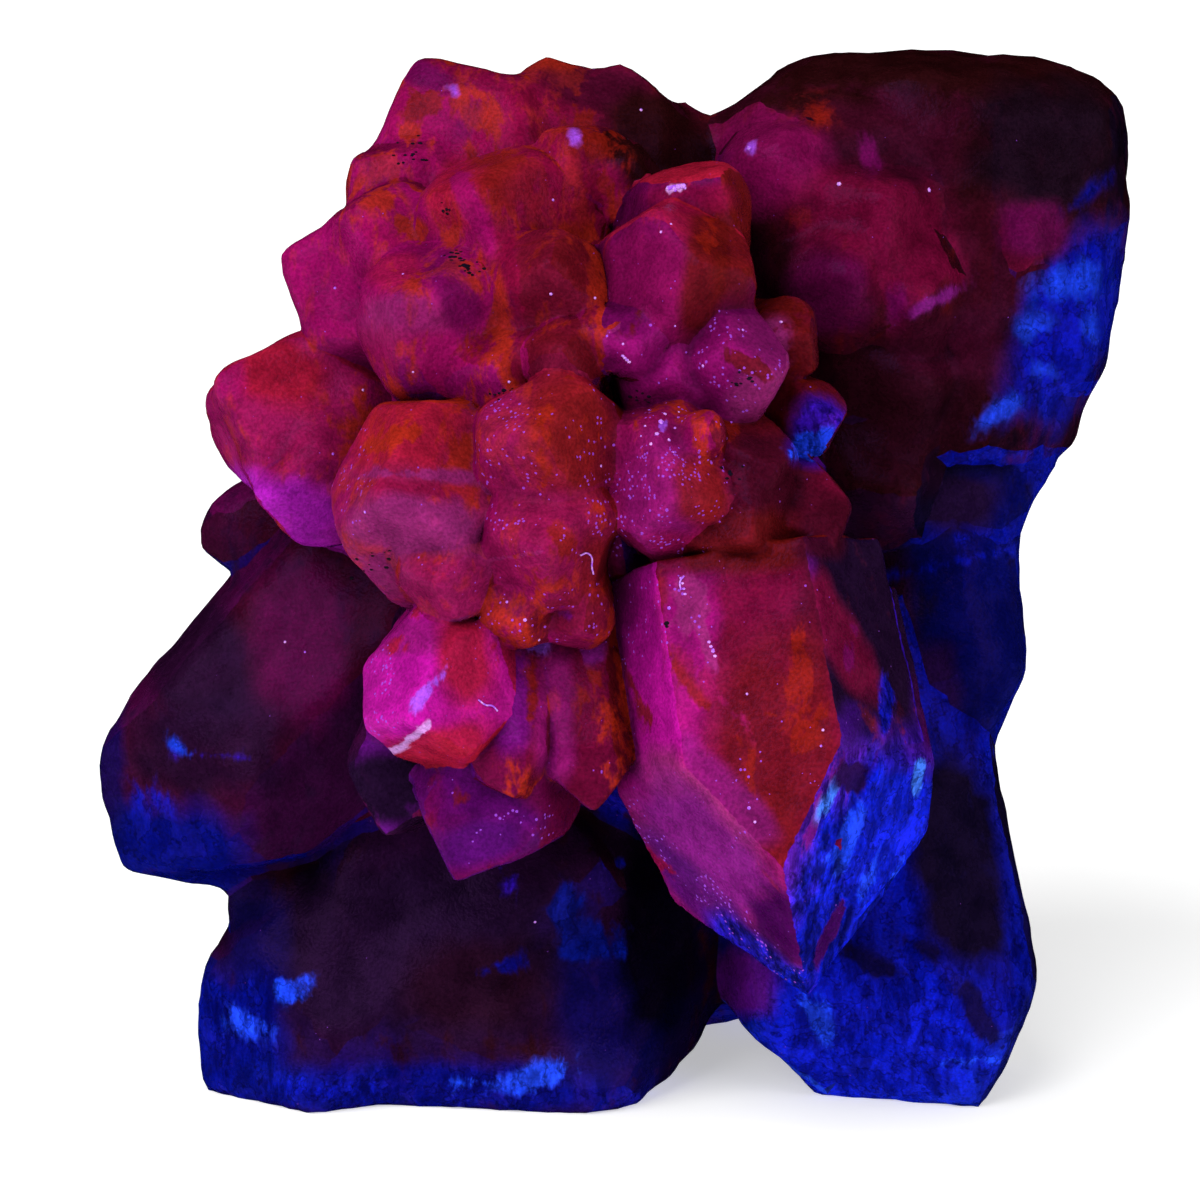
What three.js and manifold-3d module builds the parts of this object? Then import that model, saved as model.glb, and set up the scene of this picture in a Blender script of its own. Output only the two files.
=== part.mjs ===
// Citrine cluster: quartz crystals grown together as one piece, standing on its flat lower ends.
// Millimetres, +Z up, front towards -Y, origin in the middle of the base.
import * as THREE from "three";
import { ConvexGeometry } from "three/addons/geometries/ConvexGeometry.js";
import { mergeVertices } from "three/addons/utils/BufferGeometryUtils.js";
import Module from "manifold-3d";

const wasm = await Module();
wasm.setup();

// The front of the cluster leans back this far from upright, in degrees.
const FRONT_LEAN = 12;
// Quartz crystals have six sides, this many degrees apart.
const SIDES = 6;
const SIDE_ANGLE = 360 / SIDES;
// Angle between the long axis and the normal of a tip face, in degrees.
const TIP_SLOPE = 52;
// A prism's sides close in towards the tip by this angle, in degrees.
const SIDE_TAPER = 3;
// How unevenly the sides and tip faces of one crystal have grown, as a share of its radius.
const SIDE_UNEVEN = 0.12;
const TIP_UNEVEN = 0.1;
// The three minor tip faces stand back from the tip by this share of the radius.
const MINOR_FACE_BACK = 0.42;
// Small crystals that grew later on the sides of a larger one: their radius, how many of them each large
// crystal at the back carries, and how far back from its tip they sit, as a share of its length.
const BUD_RADIUS = { min: 0.9, max: 1.9 };
const BUDS_PER_BACK_CRYSTAL = 4;
const BUD_SPAN = { min: 0.3, max: 0.75 };
// A bud leans this far towards its host's tip for each step outwards, and is this many radii long.
const BUD_LEAN = 0.6;
const BUD_LENGTH = 4;
// The block below the standing surface, larger than the cluster each way.
const GROUND_WIDTH = 200;
const GROUND_DEPTH = 100;
// Corners closer than this are one corner, and planes that span less than this share no point.
const CORNER_GRID = 0.001;
const PARALLEL_SPAN = 1e-6;
// A crystal that points forward by more than this share has its turn counted from straight up.
const MOSTLY_FORWARD = 0.7;

// Each crystal has its tip and heading as [right, up, forward] on the leaning front, its length from root
// to tip, its radius to the middle of a side, and its turn about its own axis in degrees.
const FRONT_CRYSTALS = {
  // Inside, where all the roots meet.
  "core front": { tip: [0, 29, 13], heading: [0, 0.05, 1], length: 30, radius: 9.5, turn: 10 },
  "core upper": { tip: [1, 42, 8], heading: [0, 0.3, 1], length: 26, radius: 8, turn: 40 },
  "core lower": { tip: [2, 18, 5], heading: [0.02, -0.2, 1], length: 22, radius: 7, turn: 25 },

  // The large point, and the collar of small crystals around its root.
  "main point": { tip: [9.1, 6.7, 13], heading: [0.16, -0.97, 0.13], length: 21.2, radius: 6.5, turn: 63,
    slope: 60, taper: -2, minor: 0.87, uneven: 0.02 },
  "main step": { tip: [11.5, 10.4, 12], heading: [0.16, -0.97, 0.13], length: 15.5, radius: 4.3, turn: 66,
    slope: 58, taper: -2, minor: 0.7, uneven: 0.05 },
  "frosted": { tip: [2.6, 30.6, 19], heading: [0.05, -0.1, 1], length: 12, radius: 3.3, turn: 80 },
  "dark red": { tip: [7.4, 31.9, 16.5], heading: [0.4, 0, 0.9], length: 10, radius: 2.6, turn: 0 },
  "bead": { tip: [4.3, 34, 17.9], heading: [0.2, 0.3, 1], length: 6, radius: 1.2, turn: 20 },
  "collar": { tip: [6.3, 28.4, 17.3], heading: [0.2, -0.4, 0.9], length: 10, radius: 2.8, turn: 50 },
  "collar right": { tip: [10.3, 28.4, 14.6], heading: [0.5, -0.35, 0.8], length: 10, radius: 2.7, turn: 15 },

  // The druse that faces the front.
  "bright front": { tip: [-9.7, 20.1, 18], heading: [-0.25, -0.25, 0.93], length: 13, radius: 3.7,
    turn: 45 },
  "banded": { tip: [-11, 30.7, 18.6], heading: [-0.32, 0.05, 0.95], length: 14, radius: 4.5, turn: 60 },
  "rough upper": { tip: [-3.6, 33.4, 20], heading: [0, 0.1, 1], length: 12, radius: 3.2, turn: 30 },
  "rough lower": { tip: [-3.4, 28, 19.5], heading: [0, -0.15, 1], length: 12, radius: 3.2, turn: 10 },
  "block": { tip: [3.9, 41.6, 17.5], heading: [0.2, 0.15, 0.95], length: 12, radius: 3.6, turn: 90 },
  "behind block": { tip: [4.9, 45.9, 13], heading: [0.3, 0.5, 0.8], length: 12, radius: 2.8, turn: 20 },
  "tongue": { tip: [0.6, 37.4, 17], heading: [0, -0.25, 0.95], length: 6, radius: 1.6, turn: 0 },
  "hatched": { tip: [7.5, 36, 16.4], heading: [0.55, -0.25, 0.75], length: 10, radius: 2.4, turn: 0 },
  "right bud": { tip: [9.2, 38.4, 13.5], heading: [0.5, 0.1, 0.85], length: 8, radius: 2, turn: 30 },
  "blue bud": { tip: [10.6, 34, 13], heading: [0.6, -0.2, 0.75], length: 8, radius: 1.9, turn: 0 },
  "left bud": { tip: [-8.6, 26.4, 18], heading: [-0.2, -0.2, 0.95], length: 9, radius: 2.3, turn: 15 },
  "seam bud": { tip: [-2.6, 37.4, 17], heading: [0, 0.1, 1], length: 6, radius: 1.7, turn: 35 },
  "seam bead": { tip: [-0.6, 38.2, 16.5], heading: [0, 0, 1], length: 6, radius: 1.4, turn: 5 },
  "seam left": { tip: [-5.6, 36.8, 15.6], heading: [-0.1, 0.1, 1], length: 9, radius: 2.8, turn: 20 },
  "seam right": { tip: [2.5, 36.4, 16], heading: [0, 0, 1], length: 9, radius: 2.6, turn: 50 },
  "low bud": { tip: [-4.6, 24.2, 17], heading: [0, -0.4, 0.9], length: 7, radius: 1.7, turn: 20 },
  "low bead": { tip: [-1.6, 24.2, 16.6], heading: [0.1, -0.4, 0.9], length: 7, radius: 1.6, turn: 50 },
  "column left": { tip: [-4.9, 16.2, 15], heading: [0.05, -0.85, 0.5], length: 14, radius: 1.9, turn: 30 },
  "column right": { tip: [-1.2, 15.6, 14], heading: [0.1, -0.92, 0.38], length: 14, radius: 2, turn: 0 },
  "veiled": { tip: [-7.8, 12.4, 12.5], heading: [-0.35, -0.85, 0.4], length: 18, radius: 4, turn: 0 },
  "under bright": { tip: [-11.3, 14.4, 10.4], heading: [-0.35, -0.8, 0.45], length: 14, radius: 2.9,
    turn: 20 },

  // The upper left crown.
  "crown left": { tip: [-9.9, 52.9, 3], heading: [-0.42, 0.85, 0.3], length: 17, radius: 4.6, turn: 0 },
  "crown middle": { tip: [-3.6, 53.1, 2], heading: [-0.1, 0.95, 0.25], length: 14, radius: 3, turn: 40 },
  "crown right": { tip: [0.2, 52.8, 1], heading: [0.05, 0.95, 0.25], length: 14, radius: 2.9, turn: 10 },
  "crown edge": { tip: [3.5, 51.3, -1], heading: [0.2, 0.95, 0.1], length: 14, radius: 2.6, turn: 25 },
  "crown shoulder": { tip: [-12.9, 47.4, 6], heading: [-0.6, 0.5, 0.6], length: 12, radius: 3.4, turn: 0 },
  "orange front": { tip: [-6.7, 45.4, 13], heading: [-0.2, 0.35, 0.9], length: 14, radius: 4.2, turn: 20 },
  "orange bud": { tip: [-3.2, 41.6, 16], heading: [0, 0.25, 0.95], length: 10, radius: 2.8, turn: 50 },
  "speckled left": { tip: [-2.1, 48.2, 10], heading: [0, 0.5, 0.85], length: 9, radius: 2.3, turn: 0 },
  "speckled right": { tip: [0.6, 47.3, 9.5], heading: [0.2, 0.5, 0.85], length: 8, radius: 2, turn: 40 },
  "left upper": { tip: [-16.4, 42.6, 7], heading: [-0.85, 0.35, 0.4], length: 13, radius: 4, turn: 0 },
  "left orange": { tip: [-12.9, 44.6, 10], heading: [-0.5, 0.4, 0.75], length: 10, radius: 2.8, turn: 30 },
  "left front": { tip: [-10.6, 39.9, 15], heading: [-0.35, 0.15, 0.9], length: 12, radius: 3.5, turn: 0 },
  "left tall": { tip: [-19.6, 36.4, 8], heading: [-0.7, 0.35, 0.6], length: 14, radius: 4.5, turn: 20 },
  "left low": { tip: [-17.4, 30.6, 9], heading: [-0.6, -0.35, 0.7], length: 11, radius: 3.4, turn: 0 },

  // The big dark crystals around the druse.
  "left dark": { tip: [-25, 11.9, -1], heading: [-0.69, -0.72, 0.1], length: 22, radius: 5.7, turn: 20 },
  "left corner": { tip: [-24.7, 13.7, -2.5], heading: [-0.95, -0.24, 0.1], length: 14, radius: 3.5, turn: 0,
    slope: 40 },
  "left tip": { tip: [-21.5, 28, -2], heading: [-0.9, -0.4, 0.1], length: 10, radius: 2.2, turn: 0 },
  "foot broad": { tip: [-10.6, -4, -3], heading: [-0.36, -0.9, 0.22], length: 26, radius: 9.8, turn: 0,
    flat: 0.58 },
  "foot left": { tip: [-21.3, -0.6, -4], heading: [-0.8, -0.58, 0.12], length: 24, radius: 6.3, turn: 20 },
  "foot shoulder": { tip: [-20.2, 9.7, -3.5], heading: [-0.95, -0.2, 0.1], length: 12, radius: 2.6, turn: 0 },
  "foot right": { tip: [17.2, -3, -4], heading: [0.25, -0.96, 0.12], length: 28, radius: 6.6, turn: 30 },
  "foot inner": { tip: [10.6, 1.2, -2.6], heading: [0.12, -0.97, 0.15], length: 20, radius: 4.4, turn: 10 },
  "right spur": { tip: [22.6, 32.5, -3], heading: [0.97, 0.05, 0.1], length: 13, radius: 3.9, turn: 0 },
  "right shelf": { tip: [20.8, 27.6, -4], heading: [0.88, -0.45, 0.1], length: 13, radius: 3.3, turn: 20 },
  "right long": { tip: [18.2, 17.6, -3], heading: [0.2, -0.97, 0.1], length: 16, radius: 3.7, turn: 20 },
  "upper corner": { tip: [23.9, 51.2, -4], heading: [0.62, 0.75, 0.12], length: 22, radius: 6.9, turn: 4,
    slope: 46 },
  "upper crest": { tip: [20.4, 53.2, -3.5], heading: [0.12, 0.98, 0.12], length: 16, radius: 5.4, turn: 20,
    slope: 22 },
  "upper left": { tip: [10.8, 53.6, -2.5], heading: [-0.1, 0.97, 0.15], length: 18, radius: 5.9, turn: 20,
    slope: 32 },
  "upper middle": { tip: [15.4, 53.6, -5], heading: [0.02, 0.99, 0.08], length: 20, radius: 7, turn: 50,
    slope: 20 },
  "upper right": { tip: [23.6, 45.6, -4], heading: [0.9, 0.4, 0.1], length: 16, radius: 5.5, turn: 30 },
  "upper low": { tip: [22.3, 36.9, -5], heading: [0.95, -0.1, 0.1], length: 14, radius: 4.3, turn: 0 },
  "upper front": { tip: [13.2, 45.6, 6.5], heading: [0.25, 0.35, 0.9], length: 16, radius: 5, turn: 0 },
  "upper bright": { tip: [7.8, 48.2, 6], heading: [-0.1, 0.45, 0.88], length: 12, radius: 2.9, turn: 20 },
  "upper violet": { tip: [11.3, 41.4, 7.4], heading: [0.15, -0.05, 1], length: 12, radius: 3.4, turn: 40 },
  "upper streak": { tip: [15.2, 40.4, 6.2], heading: [0.3, -0.15, 0.95], length: 12, radius: 3.1, turn: 10 },
  "pink bud": { tip: [21, 44.4, 3], heading: [0.5, 0.2, 0.85], length: 9, radius: 1.8, turn: 15 },
  "recess upper": { tip: [15.4, 36, 4.5], heading: [0.4, -0.1, 0.9], length: 13, radius: 3.4, turn: 0 },
  "recess lower": { tip: [15, 30.6, 4], heading: [0.5, -0.3, 0.8], length: 13, radius: 3.4, turn: 30 },
};

// The back carries crystals of its own, with buds on them, and two more feet.
const BACK_CRYSTALS = {
  "back upper left": { tip: [-9, 46, -14], heading: [-0.45, 0.55, -0.7], length: 17, radius: 5, turn: 10 },
  "back upper middle": { tip: [2, 45.5, -17], heading: [0.05, 0.5, -0.85], length: 17, radius: 4.4,
    turn: 35 },
  "back upper right": { tip: [13, 46, -17.5], heading: [0.4, 0.5, -0.75], length: 18, radius: 5.8,
    turn: 0 },
  "back left": { tip: [-15.5, 31.5, -15], heading: [-0.7, 0.1, -0.7], length: 17, radius: 5, turn: 25 },
  "back middle": { tip: [-3, 35, -22.5], heading: [-0.1, 0.15, -1], length: 18, radius: 5.4, turn: 50 },
  "back right": { tip: [14.5, 31.5, -19], heading: [0.55, 0.05, -0.8], length: 18, radius: 5, turn: 15 },
  "back low left": { tip: [-14, 16, -16], heading: [-0.5, -0.3, -0.8], length: 17, radius: 5, turn: 0 },
  "back low middle": { tip: [1, 22, -23.5], heading: [0.05, -0.1, -1], length: 18, radius: 5.8, turn: 20 },
  "back low right": { tip: [14, 18, -18], heading: [0.45, -0.3, -0.8], length: 17, radius: 5, turn: 40 },
  "back foot left": { tip: [-9, 3, -20], heading: [-0.2, -0.75, -0.6], length: 22, radius: 6, turn: 30 },
  "back foot right": { tip: [9, 3, -21], heading: [0.25, -0.78, -0.55], length: 22, radius: 5.6, turn: 0 },
};

// The front frame, as the part's own directions.
const LEAN = THREE.MathUtils.degToRad(FRONT_LEAN);
const RIGHT = new THREE.Vector3(1, 0, 0);
const UP = new THREE.Vector3(0, Math.sin(LEAN), Math.cos(LEAN));
const FORWARD = new THREE.Vector3(0, -Math.cos(LEAN), Math.sin(LEAN));

function onFront([right, up, forward]) {
  return new THREE.Vector3()
    .addScaledVector(RIGHT, right)
    .addScaledVector(UP, up)
    .addScaledVector(FORWARD, forward);
}

// Repeatable random numbers from 0 to 1, started from a crystal's name.
function namedRandom(name) {
  let state = 7;
  for (const letter of name) {
    state = (state * 31 + letter.charCodeAt(0)) | 0;
  }
  return () => {
    state = (state + 0x6d2b79f5) | 0;
    let mixed = Math.imul(state ^ (state >>> 15), 1 | state);
    mixed = (mixed + Math.imul(mixed ^ (mixed >>> 7), 61 | mixed)) ^ mixed;
    return ((mixed ^ (mixed >>> 14)) >>> 0) / 4294967296;
  };
}

// The point that three planes share, or null where two of them are nearly parallel.
function sharedPoint(a, b, c) {
  const bc = b.normal.clone().cross(c.normal);
  const volume = a.normal.dot(bc);
  if (Math.abs(volume) < PARALLEL_SPAN) {
    return null;
  }
  const ca = c.normal.clone().cross(a.normal);
  const ab = a.normal.clone().cross(b.normal);
  return new THREE.Vector3()
    .addScaledVector(bc, a.reach)
    .addScaledVector(ca, b.reach)
    .addScaledVector(ab, c.reach)
    .divideScalar(volume);
}

// The corners of the convex solid behind all the planes.
function cornersBehind(planes) {
  const found = new Map();
  for (let i = 0; i < planes.length; i += 1) {
    for (let j = i + 1; j < planes.length; j += 1) {
      for (let k = j + 1; k < planes.length; k += 1) {
        const corner = sharedPoint(planes[i], planes[j], planes[k]);
        if (corner && planes.every((plane) => plane.normal.dot(corner) <= plane.reach + CORNER_GRID)) {
          const key = corner.toArray().map((value) => Math.round(value / CORNER_GRID)).join();
          found.set(key, corner);
        }
      }
    }
  }
  return [...found.values()];
}

function asSolid(geometry) {
  geometry.deleteAttribute("normal");
  geometry.deleteAttribute("uv");
  const merged = mergeVertices(geometry, CORNER_GRID);
  const mesh = new wasm.Mesh({
    numProp: 3,
    vertProperties: new Float32Array(merged.attributes.position.array),
    triVerts: new Uint32Array(merged.index.array),
  });
  return new wasm.Manifold(mesh);
}

// A direction turned from one unit vector towards another, square to it, by an angle.
function leaning(from, towards, angle) {
  return from.clone().multiplyScalar(Math.cos(angle)).addScaledVector(towards, Math.sin(angle));
}

// One quartz crystal: six sides, three major and three minor tip faces, and a flat root.
function crystalSolid({ name, tip, heading, length, radius, turn, slope, taper, minor, flat, uneven }) {
  const random = namedRandom(name);
  const spread = (amount) => 1 + amount * (2 * random() - 1);
  const apex = onFront(tip);
  const axis = onFront(heading).normalize();
  const facing = Math.abs(axis.dot(FORWARD)) < MOSTLY_FORWARD ? FORWARD : UP;
  const first = facing.clone().addScaledVector(axis, -facing.dot(axis)).normalize();
  const tipSlope = THREE.MathUtils.degToRad(slope ?? TIP_SLOPE);
  const sideTaper = THREE.MathUtils.degToRad(taper ?? SIDE_TAPER);
  const shoulder = apex.clone().addScaledVector(axis, -radius * Math.tan(tipSlope));
  const planes = [];
  const addPlane = (normal, through) => planes.push({ normal, reach: normal.dot(through) });
  for (let side = 0; side < SIDES; side += 1) {
    const angle = THREE.MathUtils.degToRad(turn + SIDE_ANGLE * side);
    const outward = first.clone().applyAxisAngle(axis, angle);
    const sideNormal = leaning(outward, axis, sideTaper);
    const squeeze = side % 3 === 0 ? flat ?? 1 : 1;
    const sideReach = radius * squeeze * spread(uneven ?? SIDE_UNEVEN);
    addPlane(sideNormal, shoulder.clone().addScaledVector(outward, sideReach));
    const tipNormal = leaning(axis, outward, tipSlope);
    const back = side % 2 === 0 ? 0 : (minor ?? MINOR_FACE_BACK) * radius;
    const tipPoint = apex.clone().addScaledVector(axis, back + radius * (uneven ?? TIP_UNEVEN) * random());
    addPlane(tipNormal, tipPoint);
  }
  addPlane(axis.clone().negate(), apex.clone().addScaledVector(axis, -length));
  return asSolid(new ConvexGeometry(cornersBehind(planes)));
}

// Small crystals around the sides of a larger one, growing outwards and towards its tip.
function budsOn(host) {
  const random = namedRandom(`${host.name} buds`);
  const between = ({ min, max }) => THREE.MathUtils.lerp(min, max, random());
  const anyWay = () => new THREE.Vector3(random() - 0.5, random() - 0.5, random() - 0.5);
  const axis = new THREE.Vector3(...host.heading).normalize();
  const buds = [];
  for (let count = 0; count < BUDS_PER_BACK_CRYSTAL; count += 1) {
    const outward = anyWay().cross(axis).normalize();
    const heading = outward.clone().addScaledVector(axis, BUD_LEAN).normalize();
    const radius = between(BUD_RADIUS);
    const tip = new THREE.Vector3(...host.tip)
      .addScaledVector(axis, -between(BUD_SPAN) * host.length)
      .addScaledVector(outward, host.radius)
      .addScaledVector(heading, radius);
    buds.push({
      name: `${host.name} bud ${count}`,
      tip: tip.toArray(),
      heading: heading.toArray(),
      length: BUD_LENGTH * radius,
      radius,
      turn: SIDE_ANGLE * random(),
    });
  }
  return buds;
}

// Everything below the surface that the cluster stands on, which its lower ends are ground flat to.
function groundSolid() {
  const ground = new THREE.BoxGeometry(GROUND_WIDTH, GROUND_WIDTH, GROUND_DEPTH);
  ground.translate(0, 0, -GROUND_DEPTH / 2);
  return asSolid(ground);
}

function named(table) {
  return Object.entries(table).map(([name, shape]) => ({ name, ...shape }));
}

function clusterGeometry() {
  const back = named(BACK_CRYSTALS);
  const crystals = [...named(FRONT_CRYSTALS), ...back, ...back.flatMap(budsOn)];
  const grown = crystals.map(crystalSolid).reduce((cluster, crystal) => cluster.add(crystal));
  const standing = grown.subtract(groundSolid());
  const { vertProperties, triVerts } = standing.getMesh();
  const geometry = new THREE.BufferGeometry();
  geometry.setAttribute("position", new THREE.BufferAttribute(vertProperties, 3));
  geometry.setIndex(new THREE.BufferAttribute(triVerts, 1));
  geometry.computeBoundingBox();
  return geometry;
}

const citrine = new THREE.MeshStandardMaterial({ color: 0x8c1638, roughness: 0.3, metalness: 0 });
const cluster = new THREE.Mesh(clusterGeometry(), citrine);
cluster.name = "crystal_cluster";
const middle = cluster.geometry.boundingBox.getCenter(new THREE.Vector3());
cluster.position.set(-middle.x, -middle.y, 0);

const part = new THREE.Group();
part.add(cluster);

export default part;
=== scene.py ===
"""Citrine cluster: its visual model and a plain studio, in metres, in the part's own frame."""
import math
from collections import defaultdict, namedtuple

import bmesh
import bpy
import numpy as np
from mathutils import Matrix, Vector, noise
from mathutils.bvhtree import BVHTree
from mathutils.geometry import delaunay_2d_cdt


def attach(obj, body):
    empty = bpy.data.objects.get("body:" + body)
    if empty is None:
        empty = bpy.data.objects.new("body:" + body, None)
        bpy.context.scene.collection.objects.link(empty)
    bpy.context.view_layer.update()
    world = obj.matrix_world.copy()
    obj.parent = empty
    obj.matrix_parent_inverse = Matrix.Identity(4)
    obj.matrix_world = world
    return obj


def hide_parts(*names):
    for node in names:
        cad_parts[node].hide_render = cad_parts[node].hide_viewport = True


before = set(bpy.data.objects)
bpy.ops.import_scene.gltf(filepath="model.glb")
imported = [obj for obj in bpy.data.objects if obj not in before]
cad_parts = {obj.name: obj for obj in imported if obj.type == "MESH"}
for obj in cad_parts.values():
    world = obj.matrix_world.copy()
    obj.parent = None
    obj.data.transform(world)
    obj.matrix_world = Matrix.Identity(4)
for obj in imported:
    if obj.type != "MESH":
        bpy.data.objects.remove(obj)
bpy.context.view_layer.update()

MM = 0.001
NODE = "crystal_cluster"
BODY = "root"

# The leaning front of the cluster, on which places are given as right, up and forward in millimetres.
FRONT_LEAN = math.radians(12)
FRONT_ORIGIN = Vector((0, -6.96 * MM, 0))
RIGHT = Vector((1, 0, 0))
UP = Vector((0, math.sin(FRONT_LEAN), math.cos(FRONT_LEAN)))
FORWARD = Vector((0, -math.cos(FRONT_LEAN), math.sin(FRONT_LEAN)))

# The view: how far the camera stands from the middle of the picture, and how wide the picture is there.
VIEW_MIDDLE = (-0.85, 25.7)
VIEW_DISTANCE = 300
VIEW_WIDTH = 60
SENSOR_WIDTH = 36

# How much light the sky gives, where 1 is the white that the camera sees, and how much the floor adds.
SKY_LIGHT = 0.28
FLOOR_GLOW = 0.45
FLOOR_SIZE = 4.0

# Wide soft lights: the way each comes from, its strength, and whether the faces mirror it.
Sun = namedtuple("Sun", "towards strength mirrored")
SUNS = {
    "key": Sun((-0.45, -0.6, 0.7), 2.2, False),
    "fill": Sun((0.7, -0.6, 0.45), 0.9, False),
    "glint": Sun((-0.5, -0.5, 0.7), 0.12, True),
}
SUN_WIDTH = math.radians(50)

# Triangle sides of the visual mesh, from the foremost crystals to the back.
EDGE_BY_DEPTH = ((7, 0.27), (0, 0.48), (-8, 0.68))

# Colours of the crystal as sRGB. Each is the crystal's own colour with the coloured light that fell on it
# painted in: warm light in the reds, magentas and oranges, blue light in the blues, painted shade in the
# darkest, and painted highlights in the palest, which the lint also takes.
PALETTE = {
    "hot magenta": "#BC109C",
    "magenta": "#9D0A60",
    "cerise": "#9E0A4E",
    "deep rose": "#8C0C66",
    "rose": "#961352",
    "frosty rose": "#93146E",
    "mauve": "#92246C",
    "orchid": "#82187F",
    "violet rose": "#7B0E80",
    "purple rose": "#800A4E",
    "crimson": "#8C0A3A",
    "orange": "#AE2812",
    "orange red": "#AA1632",
    "rust": "#88190E",
    "brick red": "#6E1018",
    "brick": "#64100C",
    "wine": "#6E0832",
    "dim wine": "#5A0640",
    "dim red": "#46081E",
    "purple": "#690650",
    "dark purple": "#44024D",
    "violet": "#560A6E",
    "dark violet": "#520462",
    "bright violet": "#B01CB8",
    "indigo": "#2D0EA5",
    "lavender": "#4E149C",
    "maroon": "#3E0720",
    "brown": "#28080B",
    "dark brown": "#160813",
    "recess brown": "#280612",
    "plum": "#26092C",
    "dark plum": "#1E0A28",
    "ink": "#0E0722",
    "navy": "#040750",
    "deep blue": "#010976",
    "dim blue": "#00137E",
    "blue": "#030FA0",
    "strong blue": "#0414B2",
    "royal blue": "#0418C8",
    "bright blue": "#163FE7",
    "pale blue": "#3C78FA",
    "pale lilac": "#E3A1F8",
    "lilac": "#AA50F0",
    "near black": "#02010C",
}

# One family of crystals: the colour of the faces turned each way, which paints the coloured light and shade
# that falls on each side, with blue and violet light mostly on the faces turned down; a second colour in
# angular patches and the share it covers; how frosted the faces are, which also sets how many painted
# sparkles they have; how rounded their edges are; and how hazy their patches are.
Family = namedtuple("Family", "front left right top under back patch patched frost soft haze")
FAMILIES = {
    "main": Family("wine", "rose", "indigo", "wine", "violet", "maroon", "rust", 0.4, 0.2, 0.08, 0.1),
    "step": Family("wine", "violet", "navy", "maroon", "blue", "maroon", "indigo", 0.3, 0.1, 0.08, 0.3),
    "crown": Family("cerise", "magenta", "brick", "wine", "violet", "maroon", "orange", 0.57,
                    0.12, 0.7, 0.12),
    "dim crown": Family("wine", "wine", "brown", "maroon", "brick", "maroon", "brick", 0.4, 0.05, 0.6, 0.4),
    "left": Family("magenta", "magenta", "orange red", "magenta", "violet", "maroon", "orange",
                   0.5, 0.15, 0.75, 0.15),
    "tall": Family("rose", "magenta", "magenta", "orange red", "violet", "maroon", "orange",
                   0.45, 0.12, 0.55, 0.2),
    "banded": Family("rose", "rose", "mauve", "orange", "mauve", "maroon", "orange", 0.56, 0.25, 0.4, 0.1),
    "rough": Family("rose", "magenta", "brick", "orange red", "rose", "maroon", "orange", 0.56,
                    0.6, 0.45, 0.08),
    "block": Family("purple", "purple", "brick", "orange red", "purple", "maroon",
                    "orange red", 0.36, 0.2, 0.3, 0.15),
    "hatched": Family("purple", "purple", "mauve", "purple", "wine", "maroon", "brick", 0.36,
                      0.4, 0.3, 0.1),
    "frosted": Family("magenta", "rose", "brick", "rose", "wine", "maroon", "orange", 0.44, 0.8, 0.4, 0.08),
    "dark red": Family("wine", "brick", "maroon", "brick", "maroon", "maroon", "brick", 0.4,
                       0.2, 0.15, 0.2),
    "bright": Family("hot magenta", "hot magenta", "orange red", "magenta", "orange red",
                     "maroon", "orange red", 0.34, 0.2, 0.2, 0.1),
    "column": Family("wine", "violet", "brick", "wine", "wine", "maroon", "orange", 0.4, 0.2, 0.2, 0.08),
    "veiled": Family("purple", "violet", "wine", "purple", "violet", "maroon", "wine", 0.38,
                     0.2, 0.2, 0.12),
    # The shade, left dark, foot, right, recess and upper dark families below are dark mostly with painted
    # shade, with painted blue light on some of their sides.
    "shade": Family("violet", "plum", "maroon", "purple", "plum", "plum", "purple", 0.3, 0.05, 0.4, 0.5),
    "left dark": Family("maroon", "plum", "maroon", "purple", "deep blue", "plum", "plum", 0.4,
                        0.03, 0.6, 0.5),
    "foot": Family("plum", "navy", "near black", "maroon", "blue", "navy", "brown", 0.4, 0.02, 0.5, 0.35),
    "blue foot": Family("blue", "navy", "ink", "ink", "bright blue", "navy", "deep blue", 0.42,
                        0.05, 0.5, 0.3),
    "right": Family("navy", "ink", "deep blue", "ink", "blue", "navy", "ink", 0.42, 0.02, 0.6, 0.5),
    "recess": Family("brown", "maroon", "ink", "brown", "plum", "plum", "maroon", 0.3, 0.01, 0.8, 0.9),
    "upper": Family("wine", "purple", "brown", "maroon", "maroon", "maroon", "brick", 0.35, 0.06, 0.9, 0.9),
    "upper dark": Family("brown", "maroon", "ink", "brown", "blue", "plum", "maroon", 0.4, 0.01, 1, 0.9),
    "blue rim": Family("maroon", "maroon", "blue", "brown", "bright blue", "navy", "blue",
                       0.4, 0.1, 0.7, 0.4),
    "back high": Family("wine", "purple", "brown", "maroon", "plum", "wine", "brick", 0.35, 0.1, 0.5, 0.5),
    "back low": Family("plum", "navy", "ink", "plum", "blue", "navy", "plum", 0.4, 0.05, 0.5, 0.5),
}

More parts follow.
